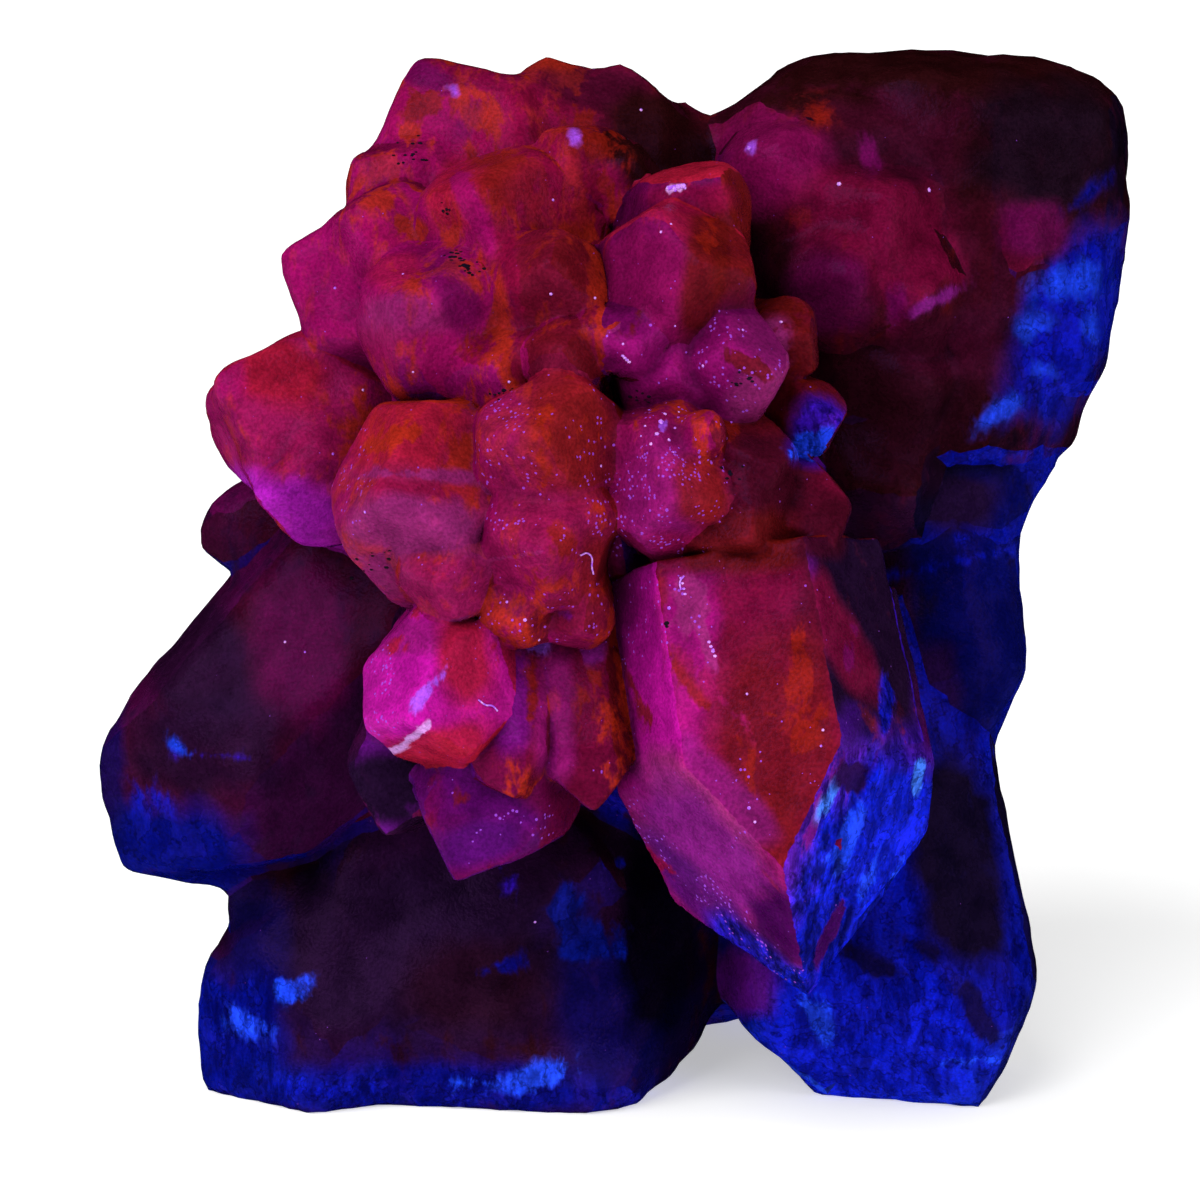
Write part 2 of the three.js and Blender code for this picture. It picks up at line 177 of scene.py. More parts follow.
# The crystals of the part: tip and heading as right, up and forward, length, radius, and colour family.
Crystal = namedtuple("Crystal", "tip heading length radius family")
CRYSTALS = {
    "main point": Crystal((9.1, 6.7, 13), (0.16, -0.97, 0.13), 21.2, 6.5, "main"),
    "main step": Crystal((11.5, 10.4, 12), (0.16, -0.97, 0.13), 15.5, 4.3, "step"),
    "frosted": Crystal((2.6, 30.6, 19), (0.05, -0.1, 1), 12, 3.3, "frosted"),
    "dark red": Crystal((7.4, 31.9, 16.5), (0.4, 0, 0.9), 10, 2.6, "dark red"),
    "bead": Crystal((4.3, 34, 17.9), (0.2, 0.3, 1), 6, 1.2, "frosted"),
    "collar": Crystal((6.3, 28.4, 17.3), (0.2, -0.4, 0.9), 10, 2.8, "dark red"),
    "collar right": Crystal((10.3, 28.4, 14.6), (0.5, -0.35, 0.8), 10, 2.7, "dark red"),
    "bright front": Crystal((-9.7, 20.1, 18), (-0.25, -0.25, 0.93), 13, 3.7, "bright"),
    "banded": Crystal((-11, 30.7, 18.6), (-0.32, 0.05, 0.95), 14, 4.5, "banded"),
    "rough upper": Crystal((-3.6, 33.4, 20), (0, 0.1, 1), 12, 3.2, "rough"),
    "rough lower": Crystal((-3.4, 28, 19.5), (0, -0.15, 1), 12, 3.2, "rough"),
    "block": Crystal((3.9, 41.6, 17.5), (0.2, 0.15, 0.95), 12, 3.6, "block"),
    "behind block": Crystal((4.9, 45.9, 13), (0.3, 0.5, 0.8), 12, 2.8, "block"),
    "tongue": Crystal((0.6, 37.4, 17), (0, -0.25, 0.95), 6, 1.6, "hatched"),
    "hatched": Crystal((7.5, 36, 16.4), (0.55, -0.25, 0.75), 10, 2.4, "hatched"),
    "right bud": Crystal((9.2, 38.4, 13.5), (0.5, 0.1, 0.85), 8, 2, "dark red"),
    "blue bud": Crystal((10.6, 34, 13), (0.6, -0.2, 0.75), 8, 1.9, "dark red"),
    "left bud": Crystal((-8.6, 26.4, 18), (-0.2, -0.2, 0.95), 9, 2.3, "banded"),
    "seam bud": Crystal((-2.6, 37.4, 17), (0, 0.1, 1), 6, 1.7, "crown"),
    "seam bead": Crystal((-0.6, 38.2, 16.5), (0, 0, 1), 6, 1.4, "crown"),
    "seam left": Crystal((-5.6, 36.8, 15.6), (-0.1, 0.1, 1), 9, 2.8, "crown"),
    "seam right": Crystal((2.5, 36.4, 16), (0, 0, 1), 9, 2.6, "hatched"),
    "low bud": Crystal((-4.6, 24.2, 17), (0, -0.4, 0.9), 7, 1.7, "rough"),
    "low bead": Crystal((-1.6, 24.2, 16.6), (0.1, -0.4, 0.9), 7, 1.6, "rough"),
    "column left": Crystal((-4.9, 16.2, 15), (0.05, -0.85, 0.5), 14, 1.9, "column"),
    "column right": Crystal((-1.2, 15.6, 14), (0.1, -0.92, 0.38), 14, 2, "column"),
    "veiled": Crystal((-7.8, 12.4, 12.5), (-0.35, -0.85, 0.4), 18, 4, "veiled"),
    "under bright": Crystal((-11.3, 14.4, 10.4), (-0.35, -0.8, 0.45), 14, 2.9, "shade"),
    "crown left": Crystal((-9.9, 52.9, 3), (-0.42, 0.85, 0.3), 17, 4.6, "crown"),
    "crown middle": Crystal((-3.6, 53.1, 2), (-0.1, 0.95, 0.25), 14, 3, "crown"),
    "crown right": Crystal((0.2, 52.8, 1), (0.05, 0.95, 0.25), 14, 2.9, "dim crown"),
    "crown edge": Crystal((3.5, 51.3, -1), (0.2, 0.95, 0.1), 14, 2.6, "dim crown"),
    "crown shoulder": Crystal((-12.9, 47.4, 6), (-0.6, 0.5, 0.6), 12, 3.4, "crown"),
    "orange front": Crystal((-6.7, 45.4, 13), (-0.2, 0.35, 0.9), 14, 4.2, "crown"),
    "orange bud": Crystal((-3.2, 41.6, 16), (0, 0.25, 0.95), 10, 2.8, "crown"),
    "speckled left": Crystal((-2.1, 48.2, 10), (0, 0.5, 0.85), 9, 2.3, "crown"),
    "speckled right": Crystal((0.6, 47.3, 9.5), (0.2, 0.5, 0.85), 8, 2, "crown"),
    "left upper": Crystal((-16.4, 42.6, 7), (-0.85, 0.35, 0.4), 13, 4, "left"),
    "left orange": Crystal((-12.9, 44.6, 10), (-0.5, 0.4, 0.75), 10, 2.8, "crown"),
    "left front": Crystal((-10.6, 39.9, 15), (-0.35, 0.15, 0.9), 12, 3.5, "left"),
    "left tall": Crystal((-19.6, 36.4, 8), (-0.7, 0.35, 0.6), 14, 4.5, "tall"),
    "left low": Crystal((-17.4, 30.6, 9), (-0.6, -0.35, 0.7), 11, 3.4, "tall"),
    "left dark": Crystal((-25, 11.9, -1), (-0.69, -0.72, 0.1), 22, 5.7, "left dark"),
    "left corner": Crystal((-24.7, 13.7, -2.5), (-0.95, -0.24, 0.1), 14, 3.5, "left dark"),
    "left tip": Crystal((-21.5, 28, -2), (-0.9, -0.4, 0.1), 10, 2.2, "left dark"),
    "foot broad": Crystal((-10.6, -4, -3), (-0.36, -0.9, 0.22), 26, 9.8, "foot"),
    "foot left": Crystal((-21.3, -0.6, -4), (-0.8, -0.58, 0.12), 24, 6.3, "foot"),
    "foot shoulder": Crystal((-20.2, 9.7, -3.5), (-0.95, -0.2, 0.1), 12, 2.6, "foot"),
    "foot right": Crystal((17.2, -3, -4), (0.25, -0.96, 0.12), 28, 6.6, "blue foot"),
    "foot inner": Crystal((10.6, 1.2, -2.6), (0.12, -0.97, 0.15), 20, 4.4, "blue foot"),
    "right spur": Crystal((22.6, 32.5, -3), (0.97, 0.05, 0.1), 13, 3.9, "right"),
    "right shelf": Crystal((20.8, 27.6, -4), (0.88, -0.45, 0.1), 13, 3.3, "right"),
    "right long": Crystal((18.2, 17.6, -3), (0.2, -0.97, 0.1), 16, 3.7, "right"),
    "upper corner": Crystal((23.9, 51.2, -4), (0.62, 0.75, 0.12), 22, 6.9, "upper dark"),
    "upper crest": Crystal((20.4, 53.2, -3.5), (0.12, 0.98, 0.12), 16, 5.4, "upper dark"),
    "upper left": Crystal((10.8, 53.6, -2.5), (-0.1, 0.97, 0.15), 18, 5.9, "upper dark"),
    "upper middle": Crystal((15.4, 53.6, -5), (0.02, 0.99, 0.08), 20, 7, "upper dark"),
    "upper right": Crystal((23.6, 45.6, -4), (0.9, 0.4, 0.1), 16, 5.5, "blue rim"),
    "upper low": Crystal((22.3, 36.9, -5), (0.95, -0.1, 0.1), 14, 4.3, "blue rim"),
    "upper front": Crystal((13.2, 45.6, 6.5), (0.25, 0.35, 0.9), 16, 5, "upper"),
    "upper bright": Crystal((7.8, 48.2, 6), (-0.1, 0.45, 0.88), 12, 2.9, "upper"),
    "upper violet": Crystal((11.3, 41.4, 7.4), (0.15, -0.05, 1), 12, 3.4, "upper"),
    "upper streak": Crystal((15.2, 40.4, 6.2), (0.3, -0.15, 0.95), 12, 3.1, "upper"),
    "pink bud": Crystal((21, 44.4, 3), (0.5, 0.2, 0.85), 9, 1.8, "upper"),
    "recess upper": Crystal((15.4, 36, 4.5), (0.4, -0.1, 0.9), 13, 3.4, "recess"),
    "recess lower": Crystal((15, 30.6, 4), (0.5, -0.3, 0.8), 13, 3.4, "recess"),
    "back upper left": Crystal((-9, 46, -14), (-0.45, 0.55, -0.7), 17, 5, "back high"),
    "back upper middle": Crystal((2, 45.5, -17), (0.05, 0.5, -0.85), 17, 4.4, "back high"),
    "back upper right": Crystal((13, 46, -17.5), (0.4, 0.5, -0.75), 18, 5.8, "back high"),
    "back left": Crystal((-15.5, 31.5, -15), (-0.7, 0.1, -0.7), 17, 5, "back high"),
    "back middle": Crystal((-3, 35, -22.5), (-0.1, 0.15, -1), 18, 5.4, "back high"),
    "back right": Crystal((14.5, 31.5, -19), (0.55, 0.05, -0.8), 18, 5, "back low"),
    "back low left": Crystal((-14, 16, -16), (-0.5, -0.3, -0.8), 17, 5, "back low"),
    "back low middle": Crystal((1, 22, -23.5), (0.05, -0.1, -1), 18, 5.8, "back low"),
    "back low right": Crystal((14, 18, -18), (0.45, -0.3, -0.8), 17, 5, "back low"),
    "back foot left": Crystal((-9, 3, -20), (-0.2, -0.75, -0.6), 22, 6, "back low"),
    "back foot right": Crystal((9, 3, -21), (0.25, -0.78, -0.55), 22, 5.6, "back low"),
}
# How far the painted light and shade of a family is evened out, as in haze and in glowing crystals.
EVEN_SHADE = {
    "upper": 0.6,
    "upper dark": 0.4,
    "left dark": 0.45,
    "right": 0.3,
    "crown": 0.6,
    "left": 0.6,
    "tall": 0.55,
    "banded": 0.45,
    "rough": 0.4,
    "frosted": 0.3,
    "hatched": 0.25,
    "block": 0.2,
    "bright": 0.3,
    "column": 0.35,
    "veiled": 0.5,
    "dark red": 0.4,
}
# Families that share one group of washes.
WASHED_AS = {
    "dim crown": "crown",
    "left": "crown",
    "step": "main",
    "upper dark": "upper",
    "blue rim": "upper",
    "recess": "upper",
}

# A wash of colour on the front of one family: its kind, its middle and its reach each way in millimetres, its
# tilt in degrees, its colour and its strength. Some lie only on the faces turned to one side. The washes
# paint the coloured light and shade on the front together with the crystals' own colour: the reds and
# magentas carry warm light, the blues blue light, most of the darkest washes painted shade, and the white,
# pale, glint, sheen and sparkle washes painted highlights.
Wash = namedtuple("Wash", "kind middle reach tilt colour strength side")
SOFT = "soft"
CHIPPED = "chipped"
SPARKLING = "sparkling"
LEFT = "left"
FRONT = "front"
RIGHT_SIDE = "right side"


def soft(middle, reach, tilt, colour, strength, side=None):
    """A wash that runs out softly."""
    return Wash(SOFT, middle, reach, tilt, colour, strength, side)


def chipped(middle, reach, tilt, colour, strength, side=None):
    """A wash that breaks up into angular chips."""
    return Wash(CHIPPED, middle, reach, tilt, colour, strength, side)


def sparkles(middle, reach, tilt, strength):
    """A scatter of painted sparkles of light, which have a colour of their own."""
    return Wash(SPARKLING, middle, reach, tilt, None, strength, None)


WASHES = {
    "crown": {
        "left side": soft((-10.7, 47.3), (2.4, 4.2), -15, "magenta", 0.6),
        "top edge": soft((-6.8, 51.6), (3.9, 0.8), -6, "wine", 0.7),
        "violet streak": soft((-9.5, 51.6), (1.7, 0.6), -25, "purple", 0.8),
        "pale glint": chipped((-8.2, 50.9), (0.4, 0.2), -30, "lilac", 0.9),
        "high orange flake": chipped((-9.5, 50.1), (1.2, 0.8), 10, "rust", 0.9),
        "low orange spot": chipped((-10.1, 48.7), (0.7, 0.4), 0, "orange", 0.8),
        "violet drop": soft((-7.3, 49.3), (0.5, 1), -20, "purple", 0.6),
        "red middle": soft((-3.8, 49.1), (1.7, 2.2), 0, "crimson", 0.7),
        "long rust flake": chipped((-5.4, 46), (2.3, 1.2), -20, "rust", 0.95),
        "low rust": soft((-7.8, 45.3), (1.4, 1.8), -30, "orange red", 0.8),
        "magenta streak": chipped((-7.1, 44.8), (0.5, 2.2), 25, "magenta", 0.9),
        "left streak": chipped((-9.7, 44.5), (0.5, 1.7), 20, "magenta", 0.8),
        "bright orange flake": chipped((-11.6, 45.3), (1.2, 0.6), -25, "orange", 1),
        "orange tail": chipped((-10.2, 43.8), (1.2, 0.5), -35, "orange", 0.85),
        # Painted shade towards the right of the crown.
        "dim right": soft((-0.8, 51.1), (2.7, 1.1), -5, "maroon", 0.85),
        "brown right": soft((1.9, 48.3), (2.5, 2.7), -40, "brown", 1),
        "dark corner": soft((4, 46.8), (1.5, 2.7), 0, "brown", 0.95),
        "rust band": chipped((-1.2, 48), (1.1, 2.2), 25, "rust", 0.75),
        "lilac glint": chipped((-2.1, 48.2), (0.22, 0.4), 10, "lilac", 0.85),
        "speckled red": soft((-3, 45.5), (2.4, 1.7), 0, "crimson", 0.7),
        "left upper face": soft((-13.6, 40.7), (3.2, 2.8), 0, "magenta", 0.8),
        "pale sheen": soft((-10.3, 39.2), (2.1, 1), 10, "mauve", 0.65),
        "orange breath": soft((-10.7, 41.5), (1.2, 0.8), 0, "orange red", 0.5),
        "violet seam": soft((-7.9, 40.6), (0.9, 2), 25, "purple", 0.7),
        "red bud": soft((-3.2, 41), (2.1, 2.6), 0, "brick red", 0.8),
        "rim of the red bud": chipped((-5, 41.3), (0.5, 2.5), 12, "crimson", 0.7),
        "low front": soft((-12.2, 37.6), (2.9, 1.1), 0, "rose", 0.6),
        "low right rust": chipped((-7.2, 38), (1.1, 1.5), -20, "rust", 0.6),
        "red seam": soft((-2.7, 37), (2.1, 1.3), 0, "brick red", 0.8),
    },
    "tall": {
        "body": soft((-17.1, 34), (3.6, 4.4), 0, "rose", 0.6),
        "orange cap": soft((-16.8, 36.9), (2.4, 1.5), -25, "orange red", 0.9),
        "magenta edge": soft((-19.1, 37.1), (0.8, 1.7), 10, "magenta", 0.7),
        "violet foot": soft((-17, 30), (3.6, 1.7), -12, "bright violet", 1),
    },
    "banded": {
        "dome": soft((-10.6, 34), (3.1, 2), 0, "orange red", 0.85),
        "orange flake": chipped((-10.1, 33.6), (1.5, 0.7), 5, "orange", 0.75),
        "low orange flake": chipped((-11.4, 33), (0.9, 0.4), 0, "orange", 0.7),
        "pale line": chipped((-9.3, 31.6), (2.9, 0.3), -3, "mauve", 0.85),
        "shade under the line": soft((-9.1, 30.9), (2.6, 0.4), -3, "crimson", 0.7),
        "pale ledge": soft((-9.7, 29.2), (3.3, 1.3), -3, "mauve", 1),
        "left side": soft((-13.6, 31.5), (1, 2.6), 0, "magenta", 0.6),
        "low side": soft((-11.7, 27), (2.3, 1.2), -10, "mauve", 0.7),
        "bud": soft((-8.1, 26.2), (2.3, 1.4), 0, "rose", 0.8),
        "orange on the bud": chipped((-8.9, 27), (0.9, 0.4), 0, "orange red", 0.6),
        "sparkling left side": sparkles((-13, 31.4), (1.2, 3.6), 0, 0.6),
    },
    "rough": {
        "left side": soft((-5.5, 33.2), (1.5, 2.9), 0, "rose", 0.8),
        "rust face": soft((-2.4, 33.4), (1.9, 2.9), 0, "rust", 0.75),
        "lower part": soft((-3.7, 28.5), (2.6, 2.1), 0, "rose", 0.7),
        "orange chip": chipped((-2.6, 28.3), (1.2, 0.7), -30, "rust", 0.5),
        "left chip": chipped((-5.4, 26.6), (0.7, 0.5), 0, "orange", 0.55),
        "low chip": chipped((-3.1, 26.8), (0.9, 0.4), -15, "rust", 0.5),
        "right edge": soft((-1.1, 27.1), (0.7, 1.6), 0, "rust", 0.7),
        "below": soft((-2.7, 25), (1.6, 0.8), 0, "brick red", 0.6),
        "violet below": chipped((-2.2, 25.1), (0.9, 0.6), 0, "violet rose", 0.7),
        "sparkling left side": sparkles((-5.6, 31.8), (1.4, 4), 0, 0.7),
        "sparkling right side": sparkles((-1.2, 31.4), (0.8, 3.1), 0, 0.7),
    },
    "block": {
        "front": soft((1.4, 40.3), (2.6, 3.1), 0, "purple rose", 0.9),
        "side": soft((4.1, 41.5), (1, 3.3), -8, "brick", 0.9),
        "far side": soft((5.8, 43.2), (1, 3.4), -8, "brick", 0.85),
        "top": soft((3.5, 44.9), (1.9, 0.7), 0, "crimson", 0.7),
        # A painted highlight on the top of the block.
        "white highlight bar": chipped((2.7, 45.4), (0.45, 0.16), 4, "pale lilac", 1),
        "rust corner": chipped((4.3, 43.1), (0.8, 1.2), -10, "rust", 0.6),
    },
    "hatched": {
        "tongue": soft((0.3, 36.9), (1.3, 1.3), 0, "deep rose", 0.9),
        "body": soft((3.4, 36.5), (2.5, 2.4), 0, "deep rose", 0.9),
        "rough end": soft((6.7, 35.3), (1.4, 1.2), -10, "mauve", 0.85),
        "rust edge": chipped((6.1, 36.8), (1.2, 0.4), -25, "brick", 0.85),
        "sparkling end": sparkles((5.5, 36.6), (2.4, 2.3), 0, 0.7),
    },
    "frosted": {
        "left side": soft((1.9, 30.2), (1.7, 3.1), 0, "frosty rose", 0.95),
        "rust face": soft((3.9, 30.9), (1.2, 1.5), 0, "rust", 0.85),
        "low side": soft((3.7, 27.8), (2.1, 1.1), 0, "crimson", 0.7),
        "dark spur": soft((6.1, 30.6), (1.2, 0.5), -45, "dim red", 1),
        "sparkle": chipped((2.1, 33.9), (0.25, 0.35), 0, "lilac", 1),
        "sparkling left side": sparkles((1.7, 30.4), (2, 3.5), 0, 1),
        "sparkling top": sparkles((2.1, 33.7), (1.1, 1.1), 0, 1),
    },
    "dark red": {
        "bead": soft((3.9, 33.6), (1.1, 1), 0, "brick red", 0.5),
        "rust by the bead": chipped((5.4, 33.8), (0.5, 1.2), 0, "rust", 0.8),
        "dark face": soft((7.3, 31.7), (2.1, 2), 0, "dim red", 1),
        "collar": soft((6.2, 28.5), (2.8, 1.4), 0, "brick", 0.8),
        "pale side of the right bud": chipped((7.4, 38), (0.8, 1.1), 0, "mauve", 0.75),
        "right side of the right bud": soft((9.3, 37.6), (1.1, 1.3), 0, "brick", 0.8),
        "dark right collar": soft((10.2, 28.6), (1.6, 2), 0, "dim red", 0.95),
        "blue bud": soft((9.7, 33.7), (1.4, 1.6), 0, "indigo", 0.95),
        "bright blue facet": chipped((9.5, 33), (1.2, 0.7), 10, "bright blue", 0.95),
    },
    "main": {
        "high face": soft((6.7, 25.5), (5.5, 3.4), 0, "wine", 0.9, FRONT),
        # Painted shade: the dim upper right here and the dark right corner further down.
        "dim upper right": soft((9.7, 25.7), (1.3, 4), -8, "dim red", 0.75, FRONT),
        "rose lower left": soft((3.4, 20.3), (1.6, 2.8), -25, "rose", 0.75, FRONT),
        "magenta by the ridge": soft((3, 22.6), (1.3, 5), -8, "hot magenta", 0.35, FRONT),
        "rust heart": soft((7.5, 19.1), (2.7, 4.7), 0, "brick red", 0.85, FRONT),
        "rust point": soft((7.4, 14.8), (1.1, 2.2), 0, "brick red", 0.9, FRONT),
        "rust column": chipped((5.9, 19.6), (0.6, 3.5), 10, "rust", 0.62, FRONT),
        "right rust column": chipped((8.6, 21.4), (0.8, 3.5), 4, "rust", 0.58, FRONT),
        "level rust line": chipped((7.2, 20.3), (3.3, 0.2), 0, "rust", 0.6, FRONT),
        "brown collar": soft((6.1, 28.2), (3.8, 1.1), 3, "brick", 0.95, FRONT),
        "dark right corner": soft((9.6, 27.6), (1, 1.6), 30, "maroon", 0.85, FRONT),
        "streak patch": chipped((3.4, 25.6), (0.8, 1.6), -8, "mauve", 0.85, FRONT),
        "streak": chipped((4.1, 23.8), (0.3, 2), 20, "mauve", 0.85, FRONT),
        "slanting rust": chipped((3.5, 21.8), (0.5, 2.1), 38, "rust", 0.65, FRONT),
        "slanting rose": chipped((4.6, 21.4), (0.4, 2.4), 40, "rose", 0.75, FRONT),
        "pale inner band": soft((4.9, 16.7), (3.1, 0.9), -46, "orchid", 0.5, FRONT),
        "left side": soft((1.1, 22.6), (2.3, 6), 0, "hot magenta", 0.85, LEFT),
        "rust at the left edge": chipped((1.1, 20.9), (0.4, 1.9), 20, "rust", 0.55, LEFT),
        "pale upper part": soft((3.9, 15.7), (3.3, 1.2), -46, "mauve", 1, LEFT),
        "pale left face": soft((4.2, 13.7), (3.8, 1.6), -46, "orchid", 0.95, LEFT),
        "violet lower edge": soft((4.8, 10.6), (4.8, 0.9), -44, "violet", 0.9, LEFT),
        "red corner": chipped((1.8, 13.1), (1.3, 0.4), -48, "crimson", 0.8, LEFT),
        "dark chevron": soft((7.9, 10.1), (1.6, 1.9), 0, "dark purple", 1, LEFT),
        "blue lower edge": soft((6.9, 8.4), (2.9, 0.8), -42, "blue", 0.9, LEFT),
        "lilac band": soft((9.1, 15.6), (1.2, 4.5), -24, "lavender", 1, RIGHT_SIDE),
        "cracked blue": soft((12.1, 13.4), (3, 5), -22, "royal blue", 1, RIGHT_SIDE),
        "low blue": soft((10.5, 8.9), (2.7, 1.9), -40, "blue", 1, RIGHT_SIDE),
        "lilac streaks": chipped((9.6, 16.3), (0.4, 3.3), -24, "violet rose", 0.6, RIGHT_SIDE),
        "bright flakes": chipped((10.9, 14.6), (0.6, 2.1), -25, "bright blue", 0.75, RIGHT_SIDE),
        "middle bright flakes": chipped((12, 12.3), (0.5, 1.9), -25, "bright blue", 0.6, RIGHT_SIDE),
        "low bright flakes": chipped((13.1, 11.5), (0.4, 2.1), -22, "bright blue", 0.65, RIGHT_SIDE),
        "pale flakes": chipped((10, 16.5), (0.3, 1.2), -30, "pale blue", 0.6, RIGHT_SIDE),
        "dark wedge": chipped((10.1, 9.7), (0.4, 1.7), -24, "dark purple", 0.85, RIGHT_SIDE),
        "dark notch": chipped((11.3, 17.4), (0.9, 0.9), -20, "plum", 0.85, RIGHT_SIDE),
        # Painted shade on the upper part of the right side, which turns red past the ridge and dark at the
        # top corner.
        "dark upper side": soft((11.8, 25), (3.6, 5.6), -10, "dark plum", 1, RIGHT_SIDE),
        "red past the ridge": soft((10.2, 24.4), (1, 3.6), 30, "wine", 0.85, RIGHT_SIDE),
        "dark top corner": soft((9.6, 28.6), (1.1, 0.9), 0, "maroon", 0.95, RIGHT_SIDE),
        "mauve strip": chipped((11, 23.4), (0.4, 1.7), -12, "purple", 0.5, RIGHT_SIDE),
        "upper blue flake": chipped((12.8, 20.7), (0.4, 2), -6, "blue", 0.6, RIGHT_SIDE),
        "pale tip": chipped((14.4, 17.2), (0.3, 1), -10, "pale blue", 1, RIGHT_SIDE),
        "blue apex": soft((8.9, 7.2), (1.5, 0.9), 0, "blue", 1),
        "sparkling lower edge": sparkles((4.4, 11.6), (6, 0.6), -44, 0.8),
        "sparkling upper left": sparkles((1.8, 24.5), (2.2, 2.2), 0, 0.5),
        "sparkling seam": sparkles((6, 16.8), (0.6, 2.8), -8, 0.5),
    },
    "bright": {
        "body": soft((-10.7, 21.5), (2.2, 2.7), 0, "hot magenta", 1),
        "high part": soft((-10.3, 23.9), (2.3, 0.8), 0, "frosty rose", 0.7),
        "right side": soft((-7.2, 22.9), (1.2, 2), 10, "orange red", 0.9),
        "low rim": soft((-8.8, 18.5), (2.6, 1), 18, "orange red", 0.9),
        # Painted highlights: white streaks of light on the faces and along the left edge, and a lilac sheen.
        "long white highlight": chipped((-9.6, 19.3), (1.2, 0.17), 38, "pale lilac", 1),
        "short white highlight": chipped((-11.2, 18.3), (0.9, 0.18), 24, "pale lilac", 1),
        "white highlight on the edge": chipped((-13.1, 20.2), (0.3, 1.2), -4, "pale lilac", 1),
        "sheen": chipped((-8.9, 21.5), (1.5, 0.4), 50, "lilac", 0.7),
        "orange breath": chipped((-10.4, 23.6), (1.4, 0.7), 0, "orange red", 0.5),
        "sparkling left side": sparkles((-12, 21.4), (1.4, 2.6), 0, 0.8),
    },
    "column": {
        "rust column": chipped((-1.7, 20), (0.7, 3), 0, "rust", 0.62),
        "rust edge": chipped((-0.7, 22.6), (0.4, 1.5), 0, "rust", 0.6),
        "middle": soft((-3, 20), (0.9, 3.1), 0, "frosty rose", 0.8),
        "violet column": soft((-5, 20.9), (0.8, 2.3), 0, "violet rose", 0.9),
        "rust rim": chipped((-4.1, 20.9), (0.4, 2.1), 0, "rust", 0.6),
        "pale chip": chipped((-4.4, 23.8), (1, 0.4), -20, "lilac", 0.9),
        "right pale chip": chipped((-1.3, 23.5), (0.6, 0.8), 0, "orchid", 0.85),
    },
    "veiled": {
        "body": soft((-5.6, 17.4), (2.9, 2.6), 0, "dark violet", 0.85),
        "brown veil": soft((-3, 16.6), (2.3, 1.2), -35, "wine", 0.7),
        "violet edge": soft((-6.6, 14.1), (2.2, 1), 12, "violet", 0.95),
        "rust breath": chipped((-7, 16.2), (1.5, 0.5), 0, "brick red", 0.5),
        "sparkling low edge": sparkles((-6.1, 14.8), (2.9, 1.1), 10, 0.6),
    },
    "shade": {
        "body": soft((-11.3, 16.6), (2.2, 1.8), 0, "dark plum", 1),
        "violet strip": chipped((-10.2, 15.7), (1.5, 0.4), 18, "violet", 0.5),
    },
    "left dark": {
        "wine side": soft((-15.7, 23.7), (2.2, 3.7), 0, "dim wine", 0.9),
        "outer side": soft((-21.2, 23), (2.5, 3.5), 30, "dark plum", 0.85),
        "middle": soft((-19.9, 18.5), (3.7, 2.2), 0, "dark plum", 0.8),
        "pale streak": chipped((-19.8, 18), (2.6, 0.3), -4, "indigo", 0.6),
        "blue spark": chipped((-21.7, 18.4), (0.7, 0.3), -28, "bright blue", 0.8),
        "blue lower face": soft((-22.2, 13.2), (3.7, 2.2), -4, "deep blue", 1),
        "blue flake": chipped((-23.3, 15.7), (1.1, 1.4), 30, "blue", 0.7),
        "left rim": soft((-25.3, 17.2), (0.7, 3.8), 0, "navy", 0.8),
    },
    "foot": {
        "face": soft((-10.3, 8.2), (8, 4.2), 0, "dark plum", 1),
        "brown middle": soft((-7.3, 6.5), (3, 2), 0, "brown", 0.5),
        "left edge": soft((-17.9, 7.9), (1.6, 3.2), 0, "navy", 0.7),
        "blue end": soft((-19.4, 3.5), (2.7, 3.3), 0, "deep blue", 1),
        "blue end flakes": chipped((-18.5, 4.5), (1.6, 0.8), -20, "bright blue", 0.55),
        "left blue patch": chipped((-16.2, 6.2), (1, 0.7), 10, "bright blue", 0.9),
        "blue band": soft((-9.4, 1.3), (9.5, 1.2), 0, "deep blue", 0.95),
        "right pale flakes": chipped((-3.6, 2), (1.7, 0.6), 18, "bright blue", 0.85),
        "middle pale flakes": chipped((-7.3, 1.6), (1.4, 0.4), 0, "bright blue", 0.65),
        "blue flakes": chipped((-15.1, 1.3), (3, 0.7), -8, "blue", 0.8),
        "right side": soft((-0.2, 5.2), (2.6, 3.3), 0, "navy", 0.85),
        # Painted shade in the gap between the foot and the main point.
        "gap": soft((2.2, 9.4), (1.9, 5.8), 0, "near black", 1),
        "high blue patch": chipped((-2.6, 10.4), (0.8, 1.1), -30, "dim blue", 0.95),
        "low blue patch": chipped((-1.3, 8.7), (1.5, 1), 0, "dim blue", 0.95),
        "blue dash": chipped((-0.1, 12.5), (0.6, 0.3), 0, "blue", 0.9),
        "violet patch": chipped((-5.5, 11.7), (1.2, 0.8), -10, "indigo", 0.5),
        "low dash": chipped((-5.9, 7.4), (1.7, 0.5), 12, "deep blue", 0.7),
    },
    "blue foot": {
        "dark side": soft((17.1, 12.7), (2.4, 5.5), 14, "ink", 1),
        "lower face": soft((12.2, 3.7), (6, 3.6), 0, "strong blue", 1),
        "bright lower rim": soft((10.8, 0.7), (3.5, 0.6), -18, "royal blue", 0.9),
        "dark stripe": chipped((17.9, 5.1), (0.7, 2.3), 35, "ink", 0.85),
        "brown streak": chipped((12.7, 7.6), (2.1, 0.5), -25, "ink", 0.8),
        "right brown streak": chipped((15.5, 8.3), (1.7, 0.4), -20, "ink", 0.7),
        "pink patch": soft((6.2, 6.5), (1.7, 1.5), 0, "violet", 0.85),
        "right edge": soft((20.2, 7.7), (0.7, 4.8), 6, "deep blue", 0.85),
